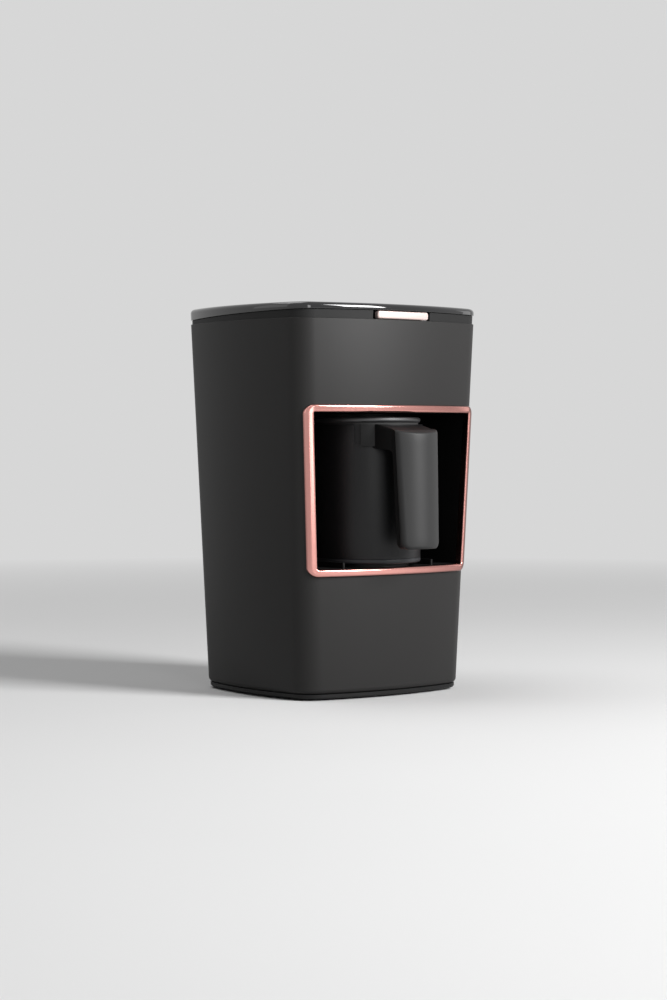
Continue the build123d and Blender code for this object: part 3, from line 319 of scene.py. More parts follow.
class Recipe:
    """A material under construction: a Principled shader and whatever feeds it."""

    def __init__(self, name, tree=None):
        self.tree = tree
        if tree is None:
            self.material = bpy.data.materials.new(name)
            self.material.use_nodes = True
            self.tree = self.material.node_tree
            self.shader = self.tree.nodes["Principled BSDF"]
            self.place = self.node("ShaderNodeTexCoord", output="Object")

    def node(self, kind, settings=None, inputs=None, output=0):
        """One node: its settings are set first, then each input gets a value or a link."""
        made = self.tree.nodes.new(kind)
        for key, value in (settings or {}).items():
            setattr(made, key, value)
        for key, value in (inputs or {}).items():
            self.feed(made.inputs[key], value)
        return Wire(self, made.outputs[output])

    def feed(self, socket, value):
        """Gives a socket a link or a value; a colour gets its alpha."""
        if isinstance(value, Wire):
            self.tree.links.new(value.socket, socket)
        elif socket.type == "RGBA":
            socket.default_value = (*value[:3], 1.0)
        else:
            socket.default_value = value

    def ramp(self, value, *stops):
        """A grey ramp between two (place, level) stops."""
        made = self.tree.nodes.new("ShaderNodeValToRGB")
        elements = made.color_ramp.elements
        for element, (place, level) in zip(elements, stops):
            element.position = place
            element.color = (level, level, level, 1.0)
        self.tree.links.new(value.socket, made.inputs[0])
        return Wire(self, made.outputs[0])

    def noise(self, scale, detail=2.0, roughness=0.5, stretch=None):
        """Noise on the object's own coordinates; stretch scales the axes."""
        place = self.place
        if stretch:
            place = self.node("ShaderNodeMapping", None, {"Vector": self.place, "Scale": stretch})
        wanted = {"Vector": place, "Scale": scale, "Detail": detail, "Roughness": roughness}
        return self.node("ShaderNodeTexNoise", None, wanted)

    def mixed(self, factor, first, second):
        """A colour between two colours."""
        settings = {"data_type": "RGBA", "clamp_factor": True}
        return self.node("ShaderNodeMix", settings, {0: factor, 6: first, 7: second}, output=2)

    def toned(self, base, cloud, low, high, *covers):
        """The base colour, clouded between two shades, with (cover, shade) layers over it."""
        tone = self.mixed(cloud, shade(base, low), shade(base, high))
        for cover, factor in covers:
            tone = self.mixed(cover, tone, shade(base, factor))
        return tone

    def edges(self, radius):
        """Near 1 on rounded and sharp edges, 0 on open faces."""
        soft = self.node("ShaderNodeBevel", {"samples": bevel_samples}, {"Radius": radius})
        plain = self.node("ShaderNodeNewGeometry", output="Normal")
        product = {"operation": "DOT_PRODUCT"}
        dot = self.node("ShaderNodeVectorMath", product, {0: soft, 1: plain}, output="Value")
        return ((1.0 - dot) * edge_gain).clamped()

    def finish(self, tone, rough, height=None, strength=0.0, depth=0.0, **others):
        """Colour, roughness, a bump and the other sockets, named with underscores; gives the material."""
        others |= {"base_color": tone, "roughness": rough}
        if height:
            bump = {"Height": height, "Strength": strength, "Distance": depth}
            others["normal"] = self.node("ShaderNodeBump", None, bump)
        for key, value in others.items():
            name = key.replace("_", " ").title()
            name = {"Ior": "IOR", "Specular Level": "Specular IOR Level"}.get(name, name)
            self.feed(self.shader.inputs[name], value)
        return self.material


def shade(base, factor):
    """A colour made lighter or darker."""
    return tuple(min(1.0, channel * factor) for channel in base)


def soft_touch(name, base):
    """Soft-touch coating: very fine grain, broad cloudiness and slightly polished edges."""
    paint = Recipe(name)
    cloud = paint.noise(scale=14.0, detail=3.0)
    grain = paint.noise(scale=5200.0, roughness=0.6)
    speck = paint.ramp(paint.noise(scale=2600.0, detail=1.0), (0.62, 0.0), (0.72, 1.0))
    worn = paint.edges(0.0008)
    tone = paint.toned(base, cloud, 0.94, 1.06, (speck * 0.25, 1.35), (worn * 0.35, 1.5))
    rough = 0.44 + grain * 0.10 + cloud * 0.05 - worn * 0.08
    return paint.finish(tone, rough, grain, strength=0.12, depth=0.00005, specular_level=0.26)


def gloss_black(name, base):
    """Polished black acrylic with faint waviness, dust and rubbed edges."""
    lacquer = Recipe(name)
    wave = lacquer.noise(scale=60.0)
    dust = lacquer.ramp(lacquer.noise(scale=2400.0), (0.66, 0.0), (0.74, 1.0))
    worn = lacquer.edges(0.0006)
    tone = lacquer.mixed(dust * 0.2, base, shade(base, 5.0))
    rough = 0.045 + wave * 0.03 + dust * 0.05 + worn * 0.06
    coat = {"coat_weight": 0.6, "coat_roughness": 0.03}
    return lacquer.finish(tone, rough, wave, strength=0.04, depth=0.0004, **coat)


def rose_plating(name, base):
    """Polished rose-gold plating: fine brushing, rubbed edges, and a painted dark reflection where the view
    grazes it.
    """
    metal = Recipe(name)
    cloud = metal.noise(scale=70.0, detail=3.0)
    brush = metal.noise(scale=900.0, stretch=(1.0, 1.0, 0.08))
    worn = metal.edges(0.0003)
    facing = metal.node("ShaderNodeLayerWeight", None, {"Blend": 0.5}, output="Facing")
    # Painted dark reflection: the plating is darkened where the view grazes it, in place of a dark
    # surrounding mirrored there.
    painted_dark_reflection = metal.ramp(facing, (0.22, 0.0), (0.62, 0.88))
    tone = metal.toned(base, cloud, 0.96, 1.04, (worn * 0.15, 1.12), (painted_dark_reflection, 0.3))
    rough = 0.14 + brush * 0.05 + cloud * 0.04
    return metal.finish(tone, rough, brush, strength=0.01, depth=0.00002, metallic=1.0)


def pearl_lacquer(name, base):
    """Satin pearl lacquer on the start bar."""
    pearl = Recipe(name)
    flake = pearl.noise(scale=3800.0, detail=1.0)
    cloud = pearl.noise(scale=120.0)
    worn = pearl.edges(0.0006)
    tone = pearl.toned(base, cloud, 0.95, 1.05, (worn * 0.4, 1.15))
    rough = 0.30 + flake * 0.08
    return pearl.finish(tone, rough, flake, strength=0.06, depth=0.00003, metallic=0.35, coat_weight=0.3)


def satin_moulding(name, base, level=0.42, grain_scale=3400.0, depth=0.00005, specular=0.25):
    """Moulded plastic: spark-eroded grain, slight flow marks and handled edges."""
    plastic = Recipe(name)
    grain = plastic.noise(scale=grain_scale, roughness=0.55)
    flow = plastic.noise(scale=24.0, stretch=(1.0, 1.0, 0.3))
    worn = plastic.edges(0.0006)
    tone = plastic.toned(base, flow, 0.92, 1.08, (worn * 0.4, 1.7))
    rough = level + grain * 0.12 + flow * 0.05 - worn * 0.08
    return plastic.finish(tone, rough, grain, strength=0.16, depth=depth, specular_level=specular)


def pot_coating(name, base):
    """Satin dark coating of the pot with fine grain and faint rub marks."""
    paint = Recipe(name)
    grain = paint.noise(scale=4200.0)
    rub = paint.noise(scale=240.0, detail=3.0, roughness=0.6, stretch=(1.0, 1.0, 0.12))
    worn = paint.edges(0.0008)
    tone = paint.toned(base, rub, 0.93, 1.08, (worn * 0.35, 1.8))
    rough = 0.36 + grain * 0.10 + rub * 0.06
    return paint.finish(tone, rough, grain, strength=0.10, depth=0.00004, specular_level=0.3)


def brushed(name, base, level=0.28, painted_shade=1.0):
    """Brushed or drawn metal: long fine scratches and slight staining; the last factor darkens the whole
    colour as painted shade.
    """
    metal, base = Recipe(name), shade(base, painted_shade)
    lines = metal.noise(scale=1500.0, detail=3.0, roughness=0.6, stretch=(1.0, 1.0, 0.03))
    stain = metal.noise(scale=50.0, detail=3.0)
    worn = metal.edges(0.0005)
    tone = metal.toned(base, stain, 0.88, 1.08, (worn * 0.4, 1.3))
    rough = level + lines * 0.14 + stain * 0.06
    return metal.finish(tone, rough, lines, strength=0.10, depth=0.00003, metallic=1.0)


def heated_steel(name, base):
    """Sheath of the heater, tinted by heat."""
    metal = Recipe(name)
    tint = metal.noise(scale=60.0, detail=3.0)
    marks = metal.noise(scale=900.0)
    tone = metal.mixed(tint, shade(base, 0.7), (0.34, 0.24, 0.16))
    return metal.finish(tone, 0.38 + marks * 0.2, marks, strength=0.15, depth=0.00005, metallic=1.0)


def soft_rubber(name, base):
    """Moulded rubber with a dusty bloom."""
    rubber = Recipe(name)
    bloom = rubber.noise(scale=90.0, detail=4.0)
    grain = rubber.noise(scale=2800.0)
    worn = rubber.edges(0.0007)
    tone = rubber.toned(base, bloom, 0.85, 1.5, (worn * 0.4, 2.2))
    return rubber.finish(tone, 0.70 + grain * 0.15, grain, strength=0.25, depth=0.00008)


def solder_mask(name, base):
    """Circuit board: mask with traces showing faintly under it."""
    board = Recipe(name)
    cells = {"feature": "DISTANCE_TO_EDGE", "distance": "MANHATTAN"}
    trace = board.node("ShaderNodeTexVoronoi", cells, {"Vector": board.place, "Scale": 420.0})
    lines = board.ramp(trace, (0.04, 1.0), (0.08, 0.0))
    haze = board.noise(scale=200.0)
    tone = board.mixed(lines * 0.6, base, shade(base, 2.0))
    tone = board.mixed(haze * 0.3, tone, shade(base, 0.7))
    return board.finish(tone, 0.28 + haze * 0.12, lines, strength=0.2, depth=0.00004, coat_weight=0.4)


def smoked_lens(name, base):
    """Smoked clear window of the foam sensor."""
    lens = Recipe(name)
    haze = lens.noise(scale=300.0)
    tone = lens.toned(base, haze, 0.9, 1.1)
    return lens.finish(tone, 0.06 + haze * 0.05, transmission_weight=0.7, ior=1.49)


@cache
def finished():
    """One finished material for each material slot of the record, made once."""
    tones = sizes("finish")
    made = {
        "soft_grey": soft_touch("soft_touch_grey", tones.housing),
        "black_gloss": gloss_black("gloss_black", tones.plate),
        "black_satin": satin_moulding("satin_black", tones.black),
        "rose_metal": rose_plating("rose_plating", tones.rose),
        "pearl_plastic": pearl_lacquer("pearl_lacquer", tones.pearl),
        "grip_grey": satin_moulding(
            "grip_soft_grey", tones.grip, level=0.40, grain_scale=4200.0, depth=0.00004, specular=0.36
        ),
        "pot_grey": pot_coating("pot_coating", tones.pot),
        "collar_grey": satin_moulding("collar_grey", tones.collar, level=0.48),
        "ring_grey": satin_moulding("ring_grey", tones.pot_ring_and_highlight, level=0.34),
    }
    makers = {
        # The cup's steel is darkened to a fifth: painted shade that keeps its lip dim in the shaded bay.
        "cup_steel": partial(brushed, level=0.46, painted_shade=0.2),
        "screw_steel": brushed,
        "alu": brushed,
        "contact_brass": partial(brushed, level=0.18),
        "pin_nickel": partial(brushed, level=0.18),
        "heater_steel": heated_steel,
        "seal_rubber": soft_rubber,
        "foot_rubber": soft_rubber,
        "board_green": solder_mask,
        "lens_clear": smoked_lens,
    }
    for entry in frame["record"]["materials"]:
        slot, base = entry["slot"], entry["base_color"][:3]
        if slot in makers:
            made[slot] = makers[slot](slot, base)
        elif slot not in made:
            made[slot] = satin_moulding(slot, base, level=0.40, grain_scale=2600.0)
    return made


# ---------------------------------------------------------------- modelling by hand, in code
def select_none():
    """Nothing stays selected, so the next operator acts on the new piece alone."""
    if bpy.context.object and bpy.context.object.mode != "OBJECT":
        bpy.ops.object.mode_set(mode="OBJECT")
    bpy.ops.object.select_all(action="DESELECT")


def work_on(piece):
    """Makes one piece selected and active."""
    select_none()
    piece.select_set(True)
    bpy.context.view_layer.objects.active = piece


def edit(piece, kind="VERT", action="SELECT"):
    """Edit mode on one piece, with everything selected or nothing."""
    work_on(piece)
    bpy.ops.object.mode_set(mode="EDIT")
    bpy.ops.mesh.select_mode(type=kind)
    bpy.ops.mesh.select_all(action=action)
    return bmesh.from_edit_mesh(piece.data)


def done(piece):
    """Back to object mode."""
    bmesh.update_edit_mesh(piece.data)
    bpy.ops.object.mode_set(mode="OBJECT")
    return piece


def settled(piece):
    """Puts a piece's place, turn and scale into its mesh."""
    work_on(piece)
    bpy.ops.object.transform_apply(location=True, rotation=True, scale=True)
    return piece


def cleaned(piece):
    """Merges doubles and turns the faces outwards, in edit mode with everything selected."""
    bpy.ops.mesh.remove_doubles(threshold=same)
    bpy.ops.mesh.normals_make_consistent(inside=False)
    return done(piece)


def pick(piece, kind, test):
    """Selects what passes a test: a vertex by its place, an edge by its ends, a face by its middle."""
    mesh = bmesh.from_edit_mesh(piece.data)
    elements, places = {
        "VERT": (mesh.verts, lambda vertex: (vertex.co,)),
        "EDGE": (mesh.edges, lambda edge: (edge.verts[0].co, edge.verts[1].co)),
        "FACE": (mesh.faces, lambda face: (face.calc_center_median(),)),
    }[kind]
    for element in elements:
        element.select_set(test(*places(element)))
    mesh.select_flush_mode()
    bmesh.update_edit_mesh(piece.data)


def apply_modifier(piece, kind, **settings):
    """Adds one modifier and applies it."""
    work_on(piece)
    modifier = piece.modifiers.new(kind.lower(), kind)
    for key, value in settings.items():
        setattr(modifier, key, value)
    bpy.ops.object.modifier_apply(modifier=modifier.name)


def cut_away(piece, *cutters):
    """Takes cutters out of a piece and removes them."""
    for cutter in cutters:
        apply_modifier(piece, "BOOLEAN", operation="DIFFERENCE", solver="EXACT", object=cutter)
        bpy.data.objects.remove(cutter)


def joined(piece, *others):
    """Several objects made one."""
    work_on(piece)
    for other in others:
        other.select_set(True)
    bpy.ops.object.join()
    return piece


def smooth(piece, angle=shell_angle):
    """Merges doubles, turns faces outwards and smooths all but the sharp edges."""
    edit(piece)
    cleaned(piece)
    bpy.ops.object.shade_smooth_by_angle(angle=radians(angle))
    return piece


def hand_over(piece, name, body, slot, *nodes):
    """Settles a finished piece: its place goes into its mesh, then body, nodes, slot and material."""
    settled(piece)
    piece.name = name
    piece.data.name = name
    piece.data.materials.clear()
    piece.data.materials.append(finished()[slot])
    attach(piece, body)
    if nodes:
        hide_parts(*nodes)


def arc_points(centre, radius, start, end, count):
    """Points on an arc, both ends included; angles in radians."""
    turns = [start + (end - start) * step / (count - 1) for step in range(count)]
    return [(centre[0] + radius * cos(angle), centre[1] + radius * sin(angle)) for angle in turns]


def rounded(radius, height, edge, start, count, way=1, sheet=0.0):
    """A profile's corner, rounded through a quarter turn; sheet lays it further in."""
    first = radians(start)
    middle, last = first + way * pi / 4, first + way * pi / 2
    centre = (radius - copysign(edge, cos(middle)), height - copysign(edge, sin(middle)))
    return arc_points(centre, edge - sheet, first, last, count)


def sliced(piece, axis, low, high, count):
    """Cuts a piece into even slices between two ends, so that it can follow a curve."""
    across = Vector((axis == "x", axis == "y", axis == "z"))
    edit(piece)
    for step in range(1, count):
        place = low + (high - low) * step / count
        bpy.ops.mesh.select_all(action="SELECT")
        bpy.ops.mesh.bisect(plane_co=across * place, plane_no=across)
    return done(piece)


def trimmed(piece, point, normal):
    """Takes away what lies on the normal's side of a plane and closes the cut."""
    edit(piece)
    bpy.ops.mesh.bisect(plane_co=point, plane_no=normal, clear_outer=True, use_fill=True)
    return done(piece)


def softened(piece, width, segments, test, sharp=0.6):
    """Bevels the sharp edges whose two ends pass a test."""
    mesh = edit(piece, "EDGE", "DESELECT")
    mesh.normal_update()
    for edge in mesh.edges:
        faces = edge.link_faces
        turned_away = len(faces) == 2 and faces[0].normal.angle(faces[1].normal, 0.0) > sharp
        edge.select_set(turned_away and test(edge.verts[0].co, edge.verts[1].co))
    bmesh.update_edit_mesh(piece.data)
    bpy.ops.mesh.bevel(offset=width, segments=segments, profile=0.5, clamp_overlap=False)
    return done(piece)


def added(kind, **settings):
    """A new primitive, the only piece selected."""
    select_none()
    getattr(bpy.ops.mesh, f"primitive_{kind}_add")(**settings)
    return bpy.context.object


def flat_face(half_low, half_high, low, high, depth=0.0):
    """Upright flat face with four corners, in the plane of a wall."""
    piece = added("plane", size=1.0)
    for vertex in piece.data.vertices:
        up = vertex.co.y > 0
        half = half_high if up else half_low
        vertex.co = (half if vertex.co.x > 0 else -half, depth, high if up else low)
    return piece


def corners_rounded(piece, radius, segments, test=lambda place: True):
    """Rounds the corners of a flat face that pass a test."""
    edit(piece, "VERT", "DESELECT")
    pick(piece, "VERT", test)
    bpy.ops.mesh.bevel(offset=radius, segments=segments, affect="VERTICES", clamp_overlap=False)
    return done(piece)


def pulled(depth):
    """Extrudes the selected faces backwards, in edit mode."""
    bpy.ops.mesh.extrude_region_move(TRANSFORM_OT_translate={"value": (0, depth, 0)})


def thickened(piece, depth):
    """Pulls a flat face back by a depth, to a closed block."""
    edit(piece, "FACE")
    pulled(depth)
    bpy.ops.mesh.select_all(action="SELECT")
    bpy.ops.mesh.normals_make_consistent(inside=False)
    return done(piece)


def block(centre, size, turn_z=0.0):
    """Cutting block."""
    cutter = added("cube", size=1.0, location=centre, rotation=(0, 0, turn_z))
    cutter.scale = size
    return settled(cutter)


def drill(centre, radius, depth, vertices, along="z"):
    """Cutting rod."""
    tilt = (pi / 2, 0, 0) if along == "y" else (0, 0, 0)
    rod = {"vertices": vertices, "radius": radius, "depth": depth}
    return settled(added("cylinder", location=centre, rotation=tilt, **rod))


def copied(piece, move):
    """A copy with its own mesh, moved away."""
    work_on(piece)
    bpy.ops.object.duplicate(linked=False)
    bpy.ops.transform.translate(value=move)
    return settled(bpy.context.object)


def plan_arcs(height, inset):
    """The arcs of the housing's plan at a height, in its right front quarter."""
    size = sizes()
    share = (height - foot_level) / (top_level - foot_level)
    half_width = (size.base_width + (size.top_width - size.base_width) * share) / 2 - inset
    half_depth = (size.base_depth + (size.top_depth - size.base_depth) * share) / 2 - inset
    plan = SimpleNamespace(front=size.front_bow - inset, side=size.side_bow - inset)
    plan.corner = size.corner - inset
    plan.front_middle, plan.side_middle = plan.front - half_depth, half_width - plan.side
    reach = hypot(plan.front_middle, plan.side_middle)
    near_front, near_side = plan.front - plan.corner, plan.side - plan.corner
    along = (near_front**2 - near_side**2 + reach**2) / (2 * reach)
    across = sqrt(near_front**2 - along**2)
    to_side = Vector((plan.side_middle, -plan.front_middle)) / reach
    for square in (Vector((-to_side.y, to_side.x)), Vector((to_side.y, -to_side.x))):
        place = Vector((0.0, plan.front_middle)) + to_side * along + square * across
        if place.x > 0 > place.y:
            plan.corner_x, plan.corner_y = place
    plan.front_end = atan2(plan.corner_y - plan.front_middle, plan.corner_x)
    plan.side_end = atan2(plan.corner_y, plan.corner_x - plan.side_middle)
    return plan


def plan_outline(height, inset):
    """Closed plan of the bowed housing at a height: four large arcs joined by four corner arcs."""
    plan = plan_arcs(height, inset)
    corner = (plan.corner_x, plan.corner_y)
    quarter = arc_points((0.0, plan.front_middle), plan.front, -pi / 2, plan.front_end, front_steps)[:-1]
    quarter += arc_points(corner, plan.corner, plan.front_end, plan.side_end, corner_steps)[:-1]
    quarter += arc_points((plan.side_middle, 0.0), plan.side, plan.side_end, 0.0, side_steps)
    half = quarter + [(x, -y) for x, y in reversed(quarter[:-1])]
    outline = half + [(-x, y) for x, y in reversed(half[1:-1])]
    return [Vector((x, y + housing_y, height)) for x, y in outline]


def front_wall(x, height, inset):
    """Y of the housing's front at a place, round its corners too."""
    plan = plan_arcs(height, inset)
    across = abs(x)
    if across <= plan.front * cos(plan.front_end):
        return housing_y + plan.front_middle - sqrt(plan.front**2 - across**2)
    return housing_y + plan.corner_y - sqrt(plan.corner**2 - (across - plan.corner_x) ** 2)


def wrapped(piece):
    """Lays a flat-built piece on the bowed front: a vertex's Y is its depth behind the wall."""
    for vertex in piece.data.vertices:
        x, depth, height = vertex.co
        vertex.co.y = front_wall(x, height, depth)
    return piece


def spot(place):
    """A place rounded to a tenth of a micrometre, to find a vertex again."""
    return tuple(round(part, 7) for part in place)


def plan_sweep(profile):
    """Skin through one plan outline for each (height, inset) step, pulled up ring by ring."""
    ring = plan_outline(*profile[0])
    piece = added("circle", vertices=len(ring), radius=1.0, fill_type="NOTHING")
    for vertex, place in zip(piece.data.vertices, ring):
        vertex.co = place
    edit(piece)
    for step in profile[1:]:
        bpy.ops.mesh.extrude_region_move()
        mesh = bmesh.from_edit_mesh(piece.data)
        above = plan_outline(*step)
        moves = {spot(old): new for old, new in zip(ring, above)}
        for vertex in mesh.verts:
            if vertex.select:
                vertex.co = moves[spot(vertex.co)]
        ring = [place.copy() for place in above]
        bmesh.update_edit_mesh(piece.data)
    return done(piece)


def level_with(axis, place):
    """Test for an edge whose two ends lie at a place along an axis."""
    return lambda a, b: all(abs(getattr(end, axis) - place) < same for end in (a, b))


def capped(piece, heights):
    """Closes the open rings of a sweep at the given heights."""
    edit(piece, "EDGE", "DESELECT")
    for height in heights:
        bpy.ops.mesh.select_all(action="DESELECT")
        pick(piece, "EDGE", level_with("z", height))
        bpy.ops.mesh.edge_face_add()
    return done(piece)


def quarter_round(height, inset, radius, down, steps=round_steps):
    """Profile steps round an edge: from the wall to the flat, above or below."""
    places = []
    for step in range(steps + 1):
        angle = pi / 2 * step / steps
        rise, back = radius * sin(angle), radius * (1 - cos(angle))
        places.append((height - rise if down else height + rise, inset + back))
    return places


def window_face(grow, depth=0.0, segments=round_steps):
    """Flat face with the window's tapered, rounded outline, grown from the trim's middle line."""
    size = sizes("window")
    slope = (size.half_high - size.half_low) / (size.high - size.low)
    half_low = size.half_low + grow - slope * grow
    half_high = size.half_high + grow + slope * grow
    face = flat_face(half_low, half_high, size.low - grow, size.high + grow, depth)
    return corners_rounded(face, size.corner + grow, segments)


def turned(profile, centre, steps, along="z"):
    """Solid of revolution from (radius, height) points about an axis along Z or Y."""
    select_none()
    lengthwise = Vector((0, along == "y", along == "z"))
    data = bpy.data.meshes.new("profile")
    points = [Vector(centre) + Vector((radius, 0, 0)) + lengthwise * height for radius, height in profile]
    data.from_pydata(points, [(n, n + 1) for n in range(len(points) - 1)], [])
    piece = bpy.data.objects.new("profile", data)
    bpy.context.collection.objects.link(piece)
    edit(piece)
    bpy.ops.mesh.spin(steps=steps, angle=2 * pi, center=centre, axis=lengthwise)
    bpy.ops.mesh.select_all(action="SELECT")
    return cleaned(piece)


# ---------------------------------------------------------------- operators
class CoffeeOperator:
    """What the operators share."""

    bl_options = {"REGISTER", "UNDO"}


class COFFEE_OT_finish_nodes(CoffeeOperator, bpy.types.Operator):
    """Give each piece of the CAD model its finished material"""

    bl_idname = "coffee.finish_nodes"
    bl_label = "Finish CAD pieces"

    def execute(self, context):
        slots = {entry["node"]: entry["material_slot"] for entry in frame["record"]["subparts"]}
        for node, piece in frame["nodes"].items():
            for place in piece.material_slots:
                place.material = finished()[slots[node]]
        return {"FINISHED"}


class COFFEE_OT_housing(CoffeeOperator, bpy.types.Operator):
    """Model the bowed housing shell with its window, rear vents and inlet"""

    bl_idname = "coffee.housing"
    bl_label = "Housing"

    def execute(self, context):
        size, window = sizes(), sizes("window")
        low, high = housing_low.z, housing_high.z
        outer = quarter_round(low + size.lower_round, 0.0, size.lower_round, True)[::-1]
        outer += quarter_round(high - size.upper_round, 0.0, size.upper_round, False, seam_steps)
        inner = [(high, size.wall), (size.rim_top, size.wall)]
        inner += [(size.rim_top, size.rim_wall), (low, size.rim_wall)]
        shell = smooth(plan_sweep(outer + inner + [outer[0]]))
        cut_away(shell, thickened(window_face(0.0, cad_low.y), housing_y - cad_low.y))
        cut_away(shell, self.vents(window), *self.inlet(size, window))
        smooth(shell)
        hand_over(shell, "housing_shell", "housing", "soft_grey", "outer_housing")
        return {"FINISHED"}

    def vents(self, window):
        """Cutter for the row of slots in the rear wall."""
        half, long = window.vent_width / 2, window.vent_half
        slot = flat_face(long, long, window.vent_low - half, window.vent_low + half, housing_y)
        slot = thickened(corners_rounded(slot, half * nearly, round_steps), cad_high.y - housing_y)
        slots = [slot] + [copied(slot, (0, 0, window.vent_pitch * row)) for row in range(1, window.vents)]
        return joined(*slots)

    def inlet(self, size, window):
        """Cutters for the bush: its seat in the wall and the hole for its barrel."""
        middle_z = (gland_low.z + gland_high.z) / 2
        seat = gland_high.y - window.inlet_flange
        reach = (gland_high.z - gland_low.z) / 2 + window.fit
        recess = drill((0, seat + size.wall, middle_z), reach, 2 * size.wall, inlet_steps, "y")
        hole = drill((0, seat, middle_z), window.inlet_barrel + window.fit, 6 * size.wall, inlet_steps, "y")
        return recess, hole


class COFFEE_OT_trim(CoffeeOperator, bpy.types.Operator):
    """Model the bright bead round the window, laid on the bowed wall and round its corners"""

    bl_idname = "coffee.trim"
    bl_label = "Window trim"

    def execute(self, context):
        size = sizes("window")
        half = size.trim_width / 2
        ring = window_face(half, -size.trim_proud, fine_steps)
        edit(ring, "FACE")
        bpy.ops.mesh.inset(thickness=half, depth=0.0)
        bpy.ops.mesh.inset(thickness=half, depth=0.0)
        bpy.ops.mesh.delete(type="FACE")
        bpy.ops.mesh.select_all(action="SELECT")
        pulled(size.trim_proud - size.fit)
        done(ring)
        self.lip(ring, size)
        smooth(ring)
        softened(ring, size.trim_round, round_steps, level_with("y", -size.trim_proud))
        wide, tall = size.half_high + half, size.high + half
        sliced(ring, "x", -wide, wide, trim_across)
        sliced(ring, "z", size.low - half, tall, trim_up)
        smooth(wrapped(ring), cut_angle)
        hand_over(ring, "trim_bead", "housing", "rose_metal", "window_frame")
        return {"FINISHED"}

    def lip(self, ring, size):
        """Pulls the inner half of the ring's back on into the window."""
        slope = (size.half_high - size.half_low) / (size.high - size.low)

        def within(place):
            half = size.half_low - size.fit + slope * (place.z - size.low)
            level = size.low + size.fit < place.z < size.high - size.fit
            return abs(place.y + size.fit) < same and abs(place.x) < half and level

        edit(ring, "FACE", "DESELECT")
        pick(ring, "FACE", within)
        pulled(size.trim_depth + size.fit)
        done(ring)


class COFFEE_OT_top_plate(CoffeeOperator, bpy.types.Operator):
    """Model the gloss top plate: rounded edge, and a seam that falls towards the rear"""

    bl_idname = "coffee.top_plate"
    bl_label = "Top plate"

    def execute(self, context):
        size = sizes()
        low, high = housing_high.z, top_level - hair
        profile = [(low, hair)]
        profile += quarter_round(high - size.plate_round, hair, size.plate_round, False, fine_steps)
        plate = smooth(capped(plan_sweep(profile), (low, high)), plate_angle)
        fall = size.seam_drop / size.top_depth
        middle = top_level - size.plate_edge - size.seam_drop / 2
        trimmed(plate, (0, housing_y, middle), (0, -fall, -1))

        def on_seam(a, b):
            return all(abs(middle - fall * (end.y - housing_y) - end.z) < same for end in (a, b))

        softened(plate, size.seam_soft, seam_steps, on_seam)
        smooth(plate, cut_angle)
        hand_over(plate, "top_plate", "housing", "black_gloss", "top_cover")
        return {"FINISHED"}


class COFFEE_OT_start_bar(CoffeeOperator, bpy.types.Operator):
    """Model the start bar: rounded ends and edges, laid on the bowed wall"""

    bl_idname = "coffee.start_bar"
    bl_label = "Start bar"

    def execute(self, context):
        size = sizes()
        half = bar_high.x
        bar = flat_face(half, half, bar_low.z, bar_high.z, -size.bar_proud)
        thickened(corners_rounded(bar, size.bar_corner, round_steps), size.bar_thick)
        softened(bar, size.bar_round, bevel_steps, level_with("y", -size.bar_proud))
        sliced(bar, "x", -half, half, bar_across)
        smooth(wrapped(bar), cut_angle)
        hand_over(bar, "start_bar", "start_button", "pearl_plastic", "start_button")
        return {"FINISHED"}


